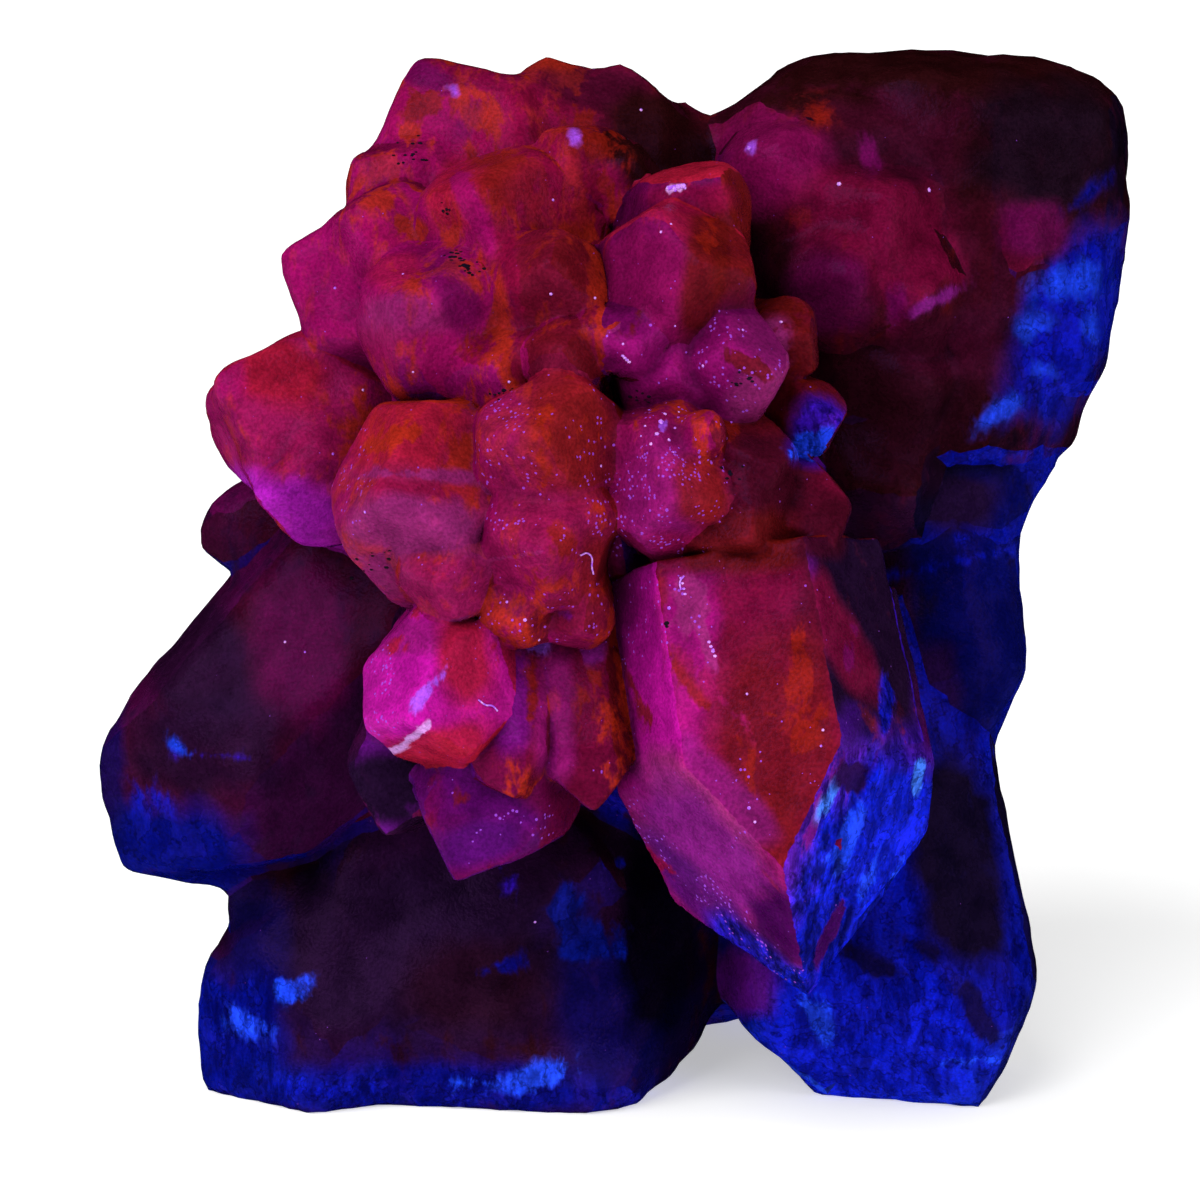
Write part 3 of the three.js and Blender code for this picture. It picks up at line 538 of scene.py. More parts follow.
        "bright patch": chipped((10.2, 4.6), (0.7, 1.6), 35, "bright blue", 0.7),
        "pale stripe": chipped((17.1, 2.7), (2.5, 0.3), 4, "bright blue", 0.6),
    },
    "right": {
        "dark upper left": soft((13.4, 24.7), (1.5, 3.4), 0, "brown", 0.85),
        "blue side": soft((18.6, 23), (2.1, 3.7), 0, "navy", 0.9),
        "dull middle": soft((15.9, 20.7), (1.2, 2.5), 0, "plum", 0.7),
        "blue chip": chipped((16.7, 18.9), (0.6, 0.7), 0, "blue", 0.8),
        "pink shelf": soft((16.6, 30.6), (2.3, 1.3), 0, "dark plum", 0.9),
        "long blue line": chipped((17.4, 27.7), (3.9, 0.3), 12, "blue", 0.8),
        "short blue line": chipped((18.7, 29), (2.3, 0.3), 8, "blue", 0.7),
        "dark top": soft((16.4, 33.2), (3.1, 1.2), 0, "ink", 0.85),
        "blue drop": chipped((21.2, 32.6), (1, 0.6), 10, "blue", 0.95),
        "right rim": soft((21.6, 30.5), (0.6, 2.3), 0, "blue", 0.85),
    },
    "upper": {
        # Painted shade along the top and towards the right of the upper crystals.
        "top": soft((13.7, 52.4), (8.1, 1.2), -3, "brown", 1),
        "red middle": soft((13.1, 48.2), (4, 2.2), 0, "maroon", 0.7),
        "right": soft((21.7, 48.3), (3.8, 3.1), 0, "dark brown", 0.95),
        "dull right": soft((18.3, 42.6), (2, 3), 0, "dim red", 0.6),
        "blue streak": chipped((23.3, 45.8), (1.8, 0.4), 40, "deep blue", 0.7),
        "blue face": soft((22.6, 39.4), (2.3, 4.8), -29, "blue", 1),
        "high bright flake": chipped((22.8, 41.5), (2.1, 1), 10, "bright blue", 0.9),
        "left bright flake": chipped((20.8, 39.3), (1.3, 0.8), 30, "bright blue", 0.85),
        "right bright flake": chipped((23.9, 39.4), (0.8, 1.1), 0, "bright blue", 0.7),
        "low bright flake": chipped((21.2, 37.2), (0.8, 0.6), 0, "bright blue", 0.8),
        "pale strip": chipped((18.7, 34.9), (1.6, 0.5), 35, "bright blue", 0.95),
        "low": soft((16.5, 38), (3.1, 2), 0, "maroon", 0.8),
        # Painted shade in the gap and the recess among the upper crystals.
        "olive gap": soft((7.3, 42.4), (1.5, 3.3), 0, "recess brown", 0.95),
        "dark": soft((14.2, 35.3), (4, 3.7), 0, "recess brown", 0.9),
        "dull red": soft((16, 38.1), (2.2, 1.2), 0, "maroon", 0.7),
        "bright round": soft((7.7, 47.2), (2.4, 2.1), 0, "purple rose", 0.95),
        "pale glint": chipped((6.5, 48), (0.5, 0.4), 0, "lilac", 0.85),
        "rust patch": chipped((9.9, 49.9), (1.2, 1), 0, "rust", 0.6),
        "red face": soft((11.2, 45.1), (2.8, 1.7), 0, "wine", 0.85),
        "rust face": chipped((9, 44.6), (1, 0.8), 0, "rust", 0.5),
        "violet flake": chipped((12.4, 47.8), (0.6, 1.2), 15, "purple", 0.8),
        "middle": soft((13.9, 43.2), (3, 2.5), 0, "wine", 0.85),
        "low left": soft((10.3, 40.8), (2, 1.8), 0, "dim wine", 0.85),
        "rose streak": chipped((15.6, 40.4), (2.1, 0.3), 28, "orchid", 0.85),
        "violet by the streak": chipped((13.7, 40.3), (0.6, 1.3), 0, "purple", 0.7),
        "red sliver": soft((16.4, 42.7), (0.6, 1.3), 25, "wine", 0.9),
        "pink bud": soft((20.8, 44.1), (1.6, 1.3), 0, "dim wine", 0.95),
    },
}

# How the part's triangles become flat faces. Points closer than the weld distance are one. Triangles that
# turn less than the flat turn lie in one face, and a needle joins the face beside it. Faces up to the sliver
# area are slivers.
WELD_DISTANCE = 0.002 * MM
FLAT_TURN = math.radians(1.5)
NEEDLE_HEIGHT = 0.004 * MM
SLIVER_AREA = 0.6 * MM * MM

# How a face is matched to its crystal: the slope of the tips, how far past a tip it may lie, and how much a
# wrong facing counts as distance. A face that fits none is a foot's.
TIP_SLOPE = math.radians(52)
TIP_MARGIN = 1 * MM
FACING_WEIGHT = 3 * MM
OTHER_FAMILY = "foot"

# How far new points keep from the outline of their face, as a share of their spacing.
OUTLINE_CLEARANCE = 0.55

# Points below this height are where the cluster stands.
STANDING_HEIGHT = 0.02 * MM

# Rounds of smoothing on the softest crystals, the strength of each round, and how far those crystals are
# pushed out again, in millimetres.
SMOOTHING_ROUNDS = 24
SMOOTHING_STRENGTH = 0.5
SWELL = 0.3

# Bumps on the faces: how many to a millimetre, how high in millimetres, and where in the noise they start.
Bumps = namedtuple("Bumps", "rate height start", defaults=((0, 0, 0),))
BROAD_LUMPS = Bumps(0.42, 0.13)
SMALL_LUMPS = Bumps(1.1, 0.06, (7, 3, 1))
FACE_GRAIN = Bumps(3.1, 0.022)
GROWTH_STEPS = Bumps(0.55, 0.02, (11, 5, 2))
STEP_LEVELS = 5
# The share of the lumps on the sharpest crystals, the share of the grain on clear faces, and what frost adds.
LEAST_LUMPS = 0.25
LEAST_GRAIN = 0.5
FROST_GRAIN = 1.5

# Rays from each point that find how deep it lies among the crystals, how far they reach, and how far off the
# face they start.
OPENNESS_RAYS = 10
OPENNESS_REACH = 6 * MM
OPENNESS_START = 0.05 * MM

# Painted light and shade: the light on the deepest points and what an open place adds to it, how far creases
# are darkened and edges brightened, where an edge begins, and the bend over which both grow. Then the rounds
# in which bend and openness are spread out, and the shade that evened-out families come near to.
DEEP_LIGHT = 0.22
OPEN_LIGHT = 0.85
CREASE_DARKENING = 0.7
EDGE_BRIGHTENING = 0.2
EDGE_BEND = 0.03
FULL_BEND = 0.12
BEND_SPREAD = 2
OPENNESS_SPREAD = 3
MIDDLE_SHADE = 0.8

# How sharply the colour of a face, which paints the light and shade on that side, goes by the way it is
# turned, and how much faces differ in brightness.
TURN_SHARPNESS = 2.5
FACE_BRIGHTNESS = (0.85, 1.18)
FACE_SEED = 4

# How washes lie: from which turn towards the front they begin and are full, from which turn a face counts as
# a side, how square they are, how ragged, and how far out in them they begin to fade and have faded.
WASHED_TURN = (-0.05, 0.2)
SIDE_TURN = 0.4
WASH_SQUARENESS = 3
RAGGED_RATE = 0.7
RAGGED_REACH = 0.25
SOFT_EDGE = (0.8, 1.3)
CHIPPED_EDGE = (1 / 3, 5 / 3)
# From which share of chips they begin to have their own colour and have it fully.
CHIP_COLOUR = (0.15, 0.4)
# How far a soft wash colours the patches and takes them away, and how much frost sparkles bring.
SOFT_ON_PATCH = 0.9
SOFT_AWAY = 0.3
SPARKLE_FROST = 2
# The share of the patches that faces turned away from the front keep.
SIDE_PATCHES = 0.75

# Painted highlights: bright glints on the front, made as small specks, as the camera sees them: right, up and
# radius in millimetres.
GLINT_SPECKS = (
    (2.9, 46.2, 0.12), (3.4, 46.3, 0.09), (11.1, 46.5, 0.13), (15.6, 46.2, 0.13), (6.6, 48.3, 0.14),
    (1.2, 50.2, 0.09), (-14.4, 45.1, 0.1), (-14.1, 41.3, 0.08), (-10.7, 42, 0.07), (-12.7, 36.2, 0.08),
    (-10.2, 37.1, 0.07), (-3.2, 45.7, 0.08), (-3.3, 41, 0.09), (-1.1, 40.8, 0.08), (-0.5, 38.9, 0.07),
    (0.3, 38.5, 0.07), (4.3, 37.4, 0.1), (2.2, 44.1, 0.08), (2.7, 44.5, 0.07), (2.9, 39.4, 0.07),
    (6.3, 39.2, 0.08), (8.2, 39.6, 0.1), (-5.4, 36.6, 0.08), (-0.8, 32.4, 0.08), (-14.2, 33, 0.08),
    (-12.6, 30.1, 0.08), (-4.6, 24.7, 0.1), (-3.9, 23.7, 0.08), (-5.5, 25.6, 0.08), (2.6, 25.3, 0.1),
    (4.8, 23.2, 0.09), (6.5, 21, 0.07), (10.3, 19.2, 0.08), (10.2, 18.4, 0.07), (6.6, 15.3, 0.1),
    (6.9, 14.6, 0.08), (-4.1, 9.6, 0.08), (-16.6, 23.6, 0.08), (-15.6, 23.1, 0.07), (2.2, 34.6, 0.16),
    (2, 34, 0.12), (2.6, 33.7, 0.1), (2.4, 35, 0.1), (1.7, 33.5, 0.09), (1.4, 34.4, 0.07),
    (2.9, 34.3, 0.07), (3.1, 35.1, 0.06), (1.2, 33.9, 0.06), (2.8, 33.1, 0.07), (1.6, 35.2, 0.06),
)
# Painted highlights: short bright streaks of light on the front, made as rows of specks: both ends, as right
# and up, and the radius.
GLINT_STREAKS = (
    ((0.3, 37.9), (0.6, 37.6), 0.09),
    ((2.6, 46.3), (3.3, 46.4), 0.15),
    ((4.6, 23.6), (4.9, 22.9), 0.08),
    ((3.2, 26.8), (3.4, 26), 0.07),
)
# Clusters of dark dirt on the front: middle and reach, as right and up, and how many grains.
DIRT = (
    ((-10.2, 48), (0.7, 0.6), 16),
    ((-8.8, 45.1), (0.3, 0.4), 6),
    ((-7.9, 42.8), (0.7, 0.5), 16),
    ((-7.4, 42.2), (0.6, 0.4), 10),
    ((-12.1, 27.6), (0.8, 0.5), 12),
    ((1.3, 35.8), (0.6, 0.3), 9),
    ((6.2, 36.7), (0.6, 0.4), 9),
    ((2.6, 24.5), (0.2, 0.2), 4),
    ((-5.9, 36), (0.6, 0.3), 8),
    ((5.6, 32.2), (0.5, 0.5), 6),
)
# Loose fibres lying on the front: the points along each, as right and up.
FIBRES = (
    ((-1.85, 27.95), (-1.5, 28.05), (-1.28, 27.75), (-1.3, 27.4), (-1.22, 27)),
    ((-6.95, 20.7), (-6.6, 20.45), (-6.25, 20.4), (-6, 20.15)),
    ((3.35, 26.9), (3.15, 26.6), (3.2, 26.2)),
)
FIBRE_RADIUS = 0.045 * MM

# How high a glint speck stands and how long the specks of a glint streak are, in radii, and where those lie
# along it.
GLINT_HEIGHT = 0.6
GLINT_STREAK_STRETCH = 1.3
GLINT_STREAK_STEPS = (0, 0.33, 0.67, 1)

# Grains of dirt: how far they scatter, half their length and half their thickness in millimetres, and how
# wide they are for their length.
DIRT_SCATTER = 0.6
DIRT_LENGTH = (0.06, 0.16)
DIRT_THICKNESS = 0.05
DIRT_WIDTH = (0.4, 0.9)
DIRT_SEED = 8

# Patterns of the faces: how many waves or cells of each there are to the metre.
WARP_RATE = 380.0
FLAME_RATE = 330.0
CHIP_RATE = 700.0
FLAKE_RATE = 1100.0
SPARKLE_RATE = 5200.0
GRAIN_RATE = 6000.0
SPECK_RATE = 5000.0
# How far the warp shifts them, how they are turned and squeezed to streaks, and how far each moves the edges
# of the patches.
WARP_REACH = 1.2 * MM
STREAK_TILT = math.radians(25)
STREAK_SCALE = (1.5, 1, 0.5)
FLAME_REACH = 1.2
CHIP_REACH = 0.5
FLAKE_REACH = 0.9
# How deep the grain is, how strongly it shows, and how much rougher frost makes the faces.
GRAIN_DEPTH = 0.2 * MM
GRAIN_STRENGTH = 0.2
FROST_ROUGHNESS = 0.15
# How many times the red a colour's blue must be for cracks to show.
BLUE_OVER_RED = 3.0
# The share of cells that full frost makes sparkle as painted highlights, the share that stay plain without
# frost, and how far a sparkle covers the colour under it.
SPARKLE_SHARE = 0.13
PLAIN_SHARE = 0.999
SPARKLE_COVER = 0.75

# Quartz: its refraction, how far it lets light through, its faint sheen, and what it absorbs inside.
QUARTZ_IOR = 1.544
CLEARNESS = 0.2
SHEEN = 0.04
SHEEN_COLOUR = (0.3, 0.1, 0.45, 1.0)
ABSORPTION_COLOUR = (0.75, 0.12, 0.5, 1.0)
ABSORPTION_DENSITY = 40.0

# One flat face of the part, and how the triangulation is asked for: what it gives, and its tolerance.
Facet = namedtuple("Facet", "centre normal family")
INSIDE_OUTLINE = 1
TRIANGLE_TOLERANCE = 1e-9

# The colours of every face corner: its tint and its patch colour, which carry painted light and shade, the
# share patches cover, frost and haze.
Paint = namedtuple("Paint", "tint patch patched frost haze")


def linear(name):
    """A palette colour as linear red, green and blue, by the sRGB formula."""
    code = PALETTE[name]
    shown = [int(code[start:start + 2], 16) / 255 for start in (1, 3, 5)]
    return np.array([c / 12.92 if c <= 0.04045 else ((c + 0.055) / 1.055) ** 2.4 for c in shown])


def opaque(name):
    """A palette colour as a node takes it."""
    return (*linear(name), 1.0)


def on_front(place):
    """The part's own point for a place given as right, up and forward in millimetres."""
    right, up, forward = place
    return FRONT_ORIGIN + (RIGHT * right + UP * up + FORWARD * forward) * MM


def heading_of(crystal):
    """The way a crystal points, in the part's own frame."""
    right, up, forward = crystal.heading
    return (RIGHT * right + UP * up + FORWARD * forward).normalized()


PLACED_CRYSTALS = [(crystal, on_front(crystal.tip), heading_of(crystal)) for crystal in CRYSTALS.values()]


# Flat faces of the part
def thinnest(face):
    """The height of a triangle over its longest side."""
    return 2 * face.calc_area() / max(edge.calc_length() for edge in face.edges)


def flat_faces(bm):
    """Groups neighbouring triangles that lie in one plane, and returns the groups."""
    same_plane = math.cos(FLAT_TURN)
    left = set(bm.faces)
    groups = []
    for first in sorted(bm.faces, key=thinnest, reverse=True):
        if first not in left:
            continue
        left.remove(first)
        group = [first]
        for face in group:
            for edge in face.edges:
                for other in edge.link_faces:
                    if other not in left:
                        continue
                    if other.normal.dot(first.normal) > same_plane or thinnest(other) < NEEDLE_HEIGHT:
                        left.remove(other)
                        group.append(other)
        groups.append(group)
    return groups


def owner_of(centre, normal):
    """The family of the crystal that a face belongs to, by how well the face fits each crystal's shape."""
    best_misfit = math.inf
    best_family = None
    for crystal, tip, heading in PLACED_CRYSTALS:
        along = (tip - centre).dot(heading)
        if not -TIP_MARGIN < along < crystal.length * MM:
            continue
        outward = centre - tip + heading * along
        radius = crystal.radius * MM
        shoulder = radius * math.tan(TIP_SLOPE)
        expected = outward.normalized()
        ring = radius
        if along < shoulder:
            ring = radius * along / shoulder
            expected = expected * math.sin(TIP_SLOPE) + heading * math.cos(TIP_SLOPE)
        misfit = abs(outward.length - ring) + FACING_WEIGHT * (1 - normal.dot(expected))
        if misfit < best_misfit:
            best_misfit = misfit
            best_family = crystal.family
    return best_family or OTHER_FAMILY


def facets_of(bm, facet_layer):
    """The flat faces of the part, numbered in the order of the groups, each with its crystal's family.

    A sliver is too small to show whose it is, so it takes the family of the largest face beside it.
    """
    groups = flat_faces(bm)
    areas = [sum(face.calc_area() for face in group) for group in groups]
    facets = []
    for number, (group, area) in enumerate(zip(groups, areas)):
        centre = sum((face.calc_center_median() * face.calc_area() for face in group), Vector()) / area
        normal = sum((face.normal * face.calc_area() for face in group), Vector()).normalized()
        facets.append(Facet(centre, normal, owner_of(centre, normal)))
        for face in group:
            face[facet_layer] = number
    for number, group in enumerate(groups):
        if areas[number] > SLIVER_AREA:
            continue
        beside = {other[facet_layer] for face in group for edge in face.edges for other in edge.link_faces}
        largest = max(beside, key=lambda neighbour: areas[neighbour])
        facets[number] = facets[number]._replace(family=facets[largest].family)
    return facets


# Small, even triangles on the same faces
def edge_length_at(point):
    """How long a triangle's side may be at a point: short in front, longer towards the back."""
    depth = (point - FRONT_ORIGIN).dot(FORWARD) / MM
    depths = [step[0] for step in reversed(EDGE_BY_DEPTH)]
    lengths = [step[1] for step in reversed(EDGE_BY_DEPTH)]
    return float(np.interp(depth, depths, lengths)) * MM


def split_outlines(bm, facet_layer):
    """Splits the edges between faces into short lengths, and returns the edges around each face."""
    by_cuts = defaultdict(list)
    for edge in bm.edges:
        one, other = edge.link_faces
        if one[facet_layer] != other[facet_layer]:
            start, end = edge.verts
            cuts = round(edge.calc_length() / edge_length_at((start.co + end.co) / 2)) - 1
            by_cuts[cuts].append(edge)
    for cuts, edges in by_cuts.items():
        if cuts > 0:
            bmesh.ops.bisect_edges(bm, edges=edges, cuts=cuts)
    outlines = defaultdict(list)
    for edge in bm.edges:
        one, other = edge.link_faces
        if one[facet_layer] != other[facet_layer]:
            outlines[one[facet_layer]].append(edge)
            outlines[other[facet_layer]].append(edge)
    return outlines


def points_inside(outline, spacing):
    """Evenly staggered points that keep clear of an outline, given as an array of flat edges."""
    low = outline.min(axis=(0, 1))
    high = outline.max(axis=(0, 1))
    row_height = spacing * math.sqrt(3) / 2
    rows = np.arange(low[1] + row_height / 2, high[1], row_height)
    columns = np.arange(low[0], high[0], spacing)
    grid = np.array([(x + spacing * (number % 2) / 2, y) for number, y in enumerate(rows) for x in columns])
    if len(grid) == 0:
        return grid
    starts = outline[None, :, 0]
    along = outline[None, :, 1] - starts
    reach = grid[:, None] - starts
    share = np.clip((reach * along).sum(axis=2) / np.maximum((along ** 2).sum(axis=2), 1e-18), 0, 1)
    away = np.linalg.norm(reach - along * share[:, :, None], axis=2).min(axis=1)
    return grid[away > OUTLINE_CLEARANCE * spacing]


def inside(points, outline):
    """Which flat points an outline encloses, by how many of its edges lie level with and past each one."""
    start = outline[None, :, 0]
    end = outline[None, :, 1]
    across = points[:, None, 0]
    height = points[:, None, 1]
    level = (start[..., 1] > height) != (end[..., 1] > height)
    rise = np.where(level, end[..., 1] - start[..., 1], 1)
    crossing = start[..., 0] + (height - start[..., 1]) / rise * (end[..., 0] - start[..., 0])
    return (level & (crossing > across)).sum(axis=1) % 2 == 1


def remove_flaps(bm):
    """Takes away the few stray triangles that hang on the surface by one edge."""
    flaps = [face for face in bm.faces if any(len(edge.link_faces) == 1 for edge in face.edges)]
    bmesh.ops.delete(bm, geom=flaps, context="FACES")


def refine(bm, facet_layer, facets):
    """A new mesh of small, even triangles on the same faces; each face keeps its number."""
    fine = bmesh.new()
    fine_layer = fine.faces.layers.int.new("facet")
    twins = {}
    outlines = split_outlines(bm, facet_layer)
    bm.verts.index_update()
    for number, facet in enumerate(facets):
        across = facet.normal.orthogonal().normalized()
        axes = np.array([across, facet.normal.cross(across)])
        centre = np.array(facet.centre)
        corners = {}
        for edge in outlines[number]:
            for vert in edge.verts:
                corners.setdefault(vert, len(corners))
        flat = (np.array([vert.co for vert in corners]) - centre) @ axes.T
        edges = [tuple(corners[vert] for vert in edge.verts) for edge in outlines[number]]
        outline = flat[np.array(edges)]
        inner = points_inside(outline, edge_length_at(facet.centre))
        corner_verts = []
        for vert in corners:
            if vert.index not in twins:
                twins[vert.index] = fine.verts.new(vert.co)
            corner_verts.append(twins[vert.index])
        inner_verts = [fine.verts.new(centre + place @ axes) for place in inner]
        every = corner_verts + inner_verts
        places = [Vector(place) for place in (*flat, *inner)]
        cut = delaunay_2d_cdt(places, edges, [], INSIDE_OUTLINE, TRIANGLE_TOLERANCE)
        points, _, triangles, origins, _, _ = cut
        middles = np.array(points)[np.array(triangles)].mean(axis=1)
        for triangle, enclosed in zip(triangles, inside(middles, outline)):
            verts = [every[origins[corner][0]] for corner in triangle]
            if enclosed and len(set(verts)) == 3 and fine.faces.get(verts) is None:
                fine.faces.new(verts)[fine_layer] = number
    loose = [vert for vert in fine.verts if not vert.link_faces]
    bmesh.ops.delete(fine, geom=loose, context="VERTS")
    remove_flaps(fine)
    bmesh.ops.recalc_face_normals(fine, faces=fine.faces[:])
    return fine, fine_layer


# Rounding and roughness
def family_at(vert, facet_layer, facets):
    """The family of the crystal that a point lies on."""
    return FAMILIES[facets[vert.link_faces[0][facet_layer]].family]


def round_edges(bm, facet_layer, facets):
    """Rounds the edges and fills the creases, on the softer crystals more than on the others."""
    raised = {}
    standing = {}
    for vert in bm.verts:
        group = raised if vert.co.z > STANDING_HEIGHT else standing
        group[vert] = family_at(vert, facet_layer, facets).soft * SMOOTHING_ROUNDS
    for step in range(SMOOTHING_ROUNDS):
        for group, rises in ((raised, True), (standing, False)):
            unfinished = [vert for vert, rounds in group.items() if rounds > step]
            if unfinished:
                bmesh.ops.smooth_vert(bm, verts=unfinished, factor=SMOOTHING_STRENGTH, use_axis_x=True,
                                      use_axis_y=True, use_axis_z=rises)


def noise_at(place, bumps):
    """Noise about nought, as close as the bumps stand."""
    return noise.noise(place * bumps.rate + Vector(bumps.start))


def weather(bm, facet_layer, facets):
    """Gives the faces their lumps, growth steps and fine roughness."""
    bm.normal_update()
    moved = []
    for vert in bm.verts:
        if vert.co.z < STANDING_HEIGHT:
            continue
        family = family_at(vert, facet_layer, facets)
        place = vert.co / MM
        lumps = sum(noise_at(place, bumps) * bumps.height for bumps in (BROAD_LUMPS, SMALL_LUMPS))
        grain = noise_at(place, FACE_GRAIN) * FACE_GRAIN.height
        step = math.floor(noise_at(place, GROWTH_STEPS) * STEP_LEVELS) * GROWTH_STEPS.height
        rough = lumps * (LEAST_LUMPS + family.soft) + grain * (LEAST_GRAIN + FROST_GRAIN * family.frost)
        amount = rough + step + SWELL * family.soft
        moved.append((vert, vert.normal * amount * MM))
    for vert, shift in moved:
        vert.co += shift
        vert.co.z = max(vert.co.z, 0)


# Colours
def even_directions(count):
    """Directions spread evenly over the upper half of a sphere, nearest to upright first."""
    turn = math.pi * (3 - math.sqrt(5))
    directions = []
    for number in range(count):
        rise = math.sqrt(1 - (number + 0.5) / count)
        out = math.sqrt(1 - rise * rise)
        directions.append(Vector((out * math.cos(turn * number), out * math.sin(turn * number), rise)))
    return directions


def openness(bm):
    """The share of rays from each point that leave the cluster."""
    bm.normal_update()
    tree = BVHTree.FromBMesh(bm)
    directions = even_directions(OPENNESS_RAYS)
    shares = []
    for vert in bm.verts:
        turn = vert.normal.to_track_quat("Z", "Y")
        start = vert.co + vert.normal * OPENNESS_START
        free = 0
        for direction in directions:
            if tree.ray_cast(start, turn @ direction, OPENNESS_REACH)[0] is None:
                free += 1
        shares.append(free / OPENNESS_RAYS)
    return np.array(shares)


def spread_out(values, ends, count):
    """Evens out values at the points by their neighbours along the edges."""
    links = np.bincount(ends.ravel(), minlength=len(values))
    for _ in range(count):
        total = np.bincount(ends[:, 0], weights=values[ends[:, 1]], minlength=len(values))
        total += np.bincount(ends[:, 1], weights=values[ends[:, 0]], minlength=len(values))
        values = (values + total / np.maximum(links, 1)) / 2
    return values


def shading(bm):
    """Painted shade in the hollows and painted light on the raised edges, as a factor for the colour of each
    point.
    """
    bm.verts.index_update()
    ends = np.array([[vert.index for vert in edge.verts] for edge in bm.edges])
    places = np.array([vert.co for vert in bm.verts])
    normals = np.array([vert.normal for vert in bm.verts])
    along = places[ends[:, 1]] - places[ends[:, 0]]
    along /= np.maximum(np.linalg.norm(along, axis=1, keepdims=True), 1e-12)
    rise = np.bincount(ends[:, 0], (along * normals[ends[:, 0]]).sum(axis=1), len(places))
    rise -= np.bincount(ends[:, 1], (along * normals[ends[:, 1]]).sum(axis=1), len(places))
    rise /= np.maximum(np.bincount(ends.ravel(), minlength=len(places)), 1)
    rise = spread_out(rise, ends, BEND_SPREAD)
    open_share = spread_out(openness(bm), ends, OPENNESS_SPREAD)
    crease = 1 - CREASE_DARKENING * np.clip(rise / FULL_BEND, 0, 1)
    edge = 1 + EDGE_BRIGHTENING * np.clip((-rise - EDGE_BEND) / FULL_BEND, 0, 1)
    return (DEEP_LIGHT + OPEN_LIGHT * open_share) * crease * edge


def wash_distance(wash, right, up):
    """How far out each place lies from the middle of a wash, where 1 is its edge."""
    tilt = math.radians(wash.tilt)
    across = right - wash.middle[0]
    rise = up - wash.middle[1]
    along = (across * math.cos(tilt) + rise * math.sin(tilt)) / wash.reach[0]
    aside = (rise * math.cos(tilt) - across * math.sin(tilt)) / wash.reach[1]
    return (np.abs(along) ** WASH_SQUARENESS + np.abs(aside) ** WASH_SQUARENESS) ** (1 / WASH_SQUARENESS)


def side_of(facet):
    """Whether a face is turned to the left, to the right or to neither; the step is all right side."""
    turned = facet.normal.dot(RIGHT)
    if turned > SIDE_TURN or facet.family == "step":
        return RIGHT_SIDE
    return LEFT if turned < -SIDE_TURN else FRONT


def blend(one, other, share):
    """Rows of one array moved towards another by a share for each row."""
    return one + (other - one) * share[:, None]


def base_paint(facets):
    """The paint of each flat face by the way it is turned, before any wash: the coloured light and shade
    painted on each side.
    """
    generator = np.random.default_rng(FACE_SEED)
    families = [FAMILIES[facet.family] for facet in facets]
    ways = ("right", "left", "top", "under", "front", "back")
    table = np.array([[linear(getattr(family, way)) for way in ways] for family in families])
    axes = (RIGHT, -RIGHT, UP, -UP, FORWARD, -FORWARD)
    turns = np.array([[max(facet.normal.dot(axis), 0) for axis in axes] for facet in facets])
    shares = turns ** TURN_SHARPNESS
    shares /= shares.sum(axis=1, keepdims=True)
    tint = (table * shares[:, :, None]).sum(axis=1)
    tint *= generator.uniform(*FACE_BRIGHTNESS, (len(facets), 1))
    patch = np.array([linear(family.patch) for family in families])
    patched = np.array([family.patched for family in families])
    frost = np.array([family.frost for family in families])
    haze = np.array([family.haze for family in families])
    return Paint(tint, patch, patched, frost, haze)


def lay_wash(paint, wash, chosen, far, strength):
    """Lays one wash on the chosen face corners, by how far out in it each of them lies."""
    if wash.kind == CHIPPED:
        share = strength * np.interp(far, CHIPPED_EDGE, (1, 0))
        coloured = np.interp(share, CHIP_COLOUR, (0, 1))
        paint.patch[chosen] = blend(paint.patch[chosen], linear(wash.colour), coloured)
        paint.patched[chosen] = np.maximum(paint.patched[chosen], share)
        return
    share = strength * np.interp(far, SOFT_EDGE, (1, 0))
    if wash.kind == SPARKLING:
        paint.frost[chosen] = np.maximum(paint.frost[chosen], SPARKLE_FROST * share)
        return
    paint.tint[chosen] = blend(paint.tint[chosen], linear(wash.colour), share)
    paint.patch[chosen] = blend(paint.patch[chosen], linear(wash.colour), SOFT_ON_PATCH * share ** 2)
    paint.patched[chosen] *= 1 - SOFT_AWAY * share


def store(mesh, name, kind, field, values):
    """Stores values at every face corner, for the material to read by name."""
    layer = mesh.attributes.new(name, kind, "CORNER")
    layer.data.foreach_set(field, values.astype(np.float32).ravel())


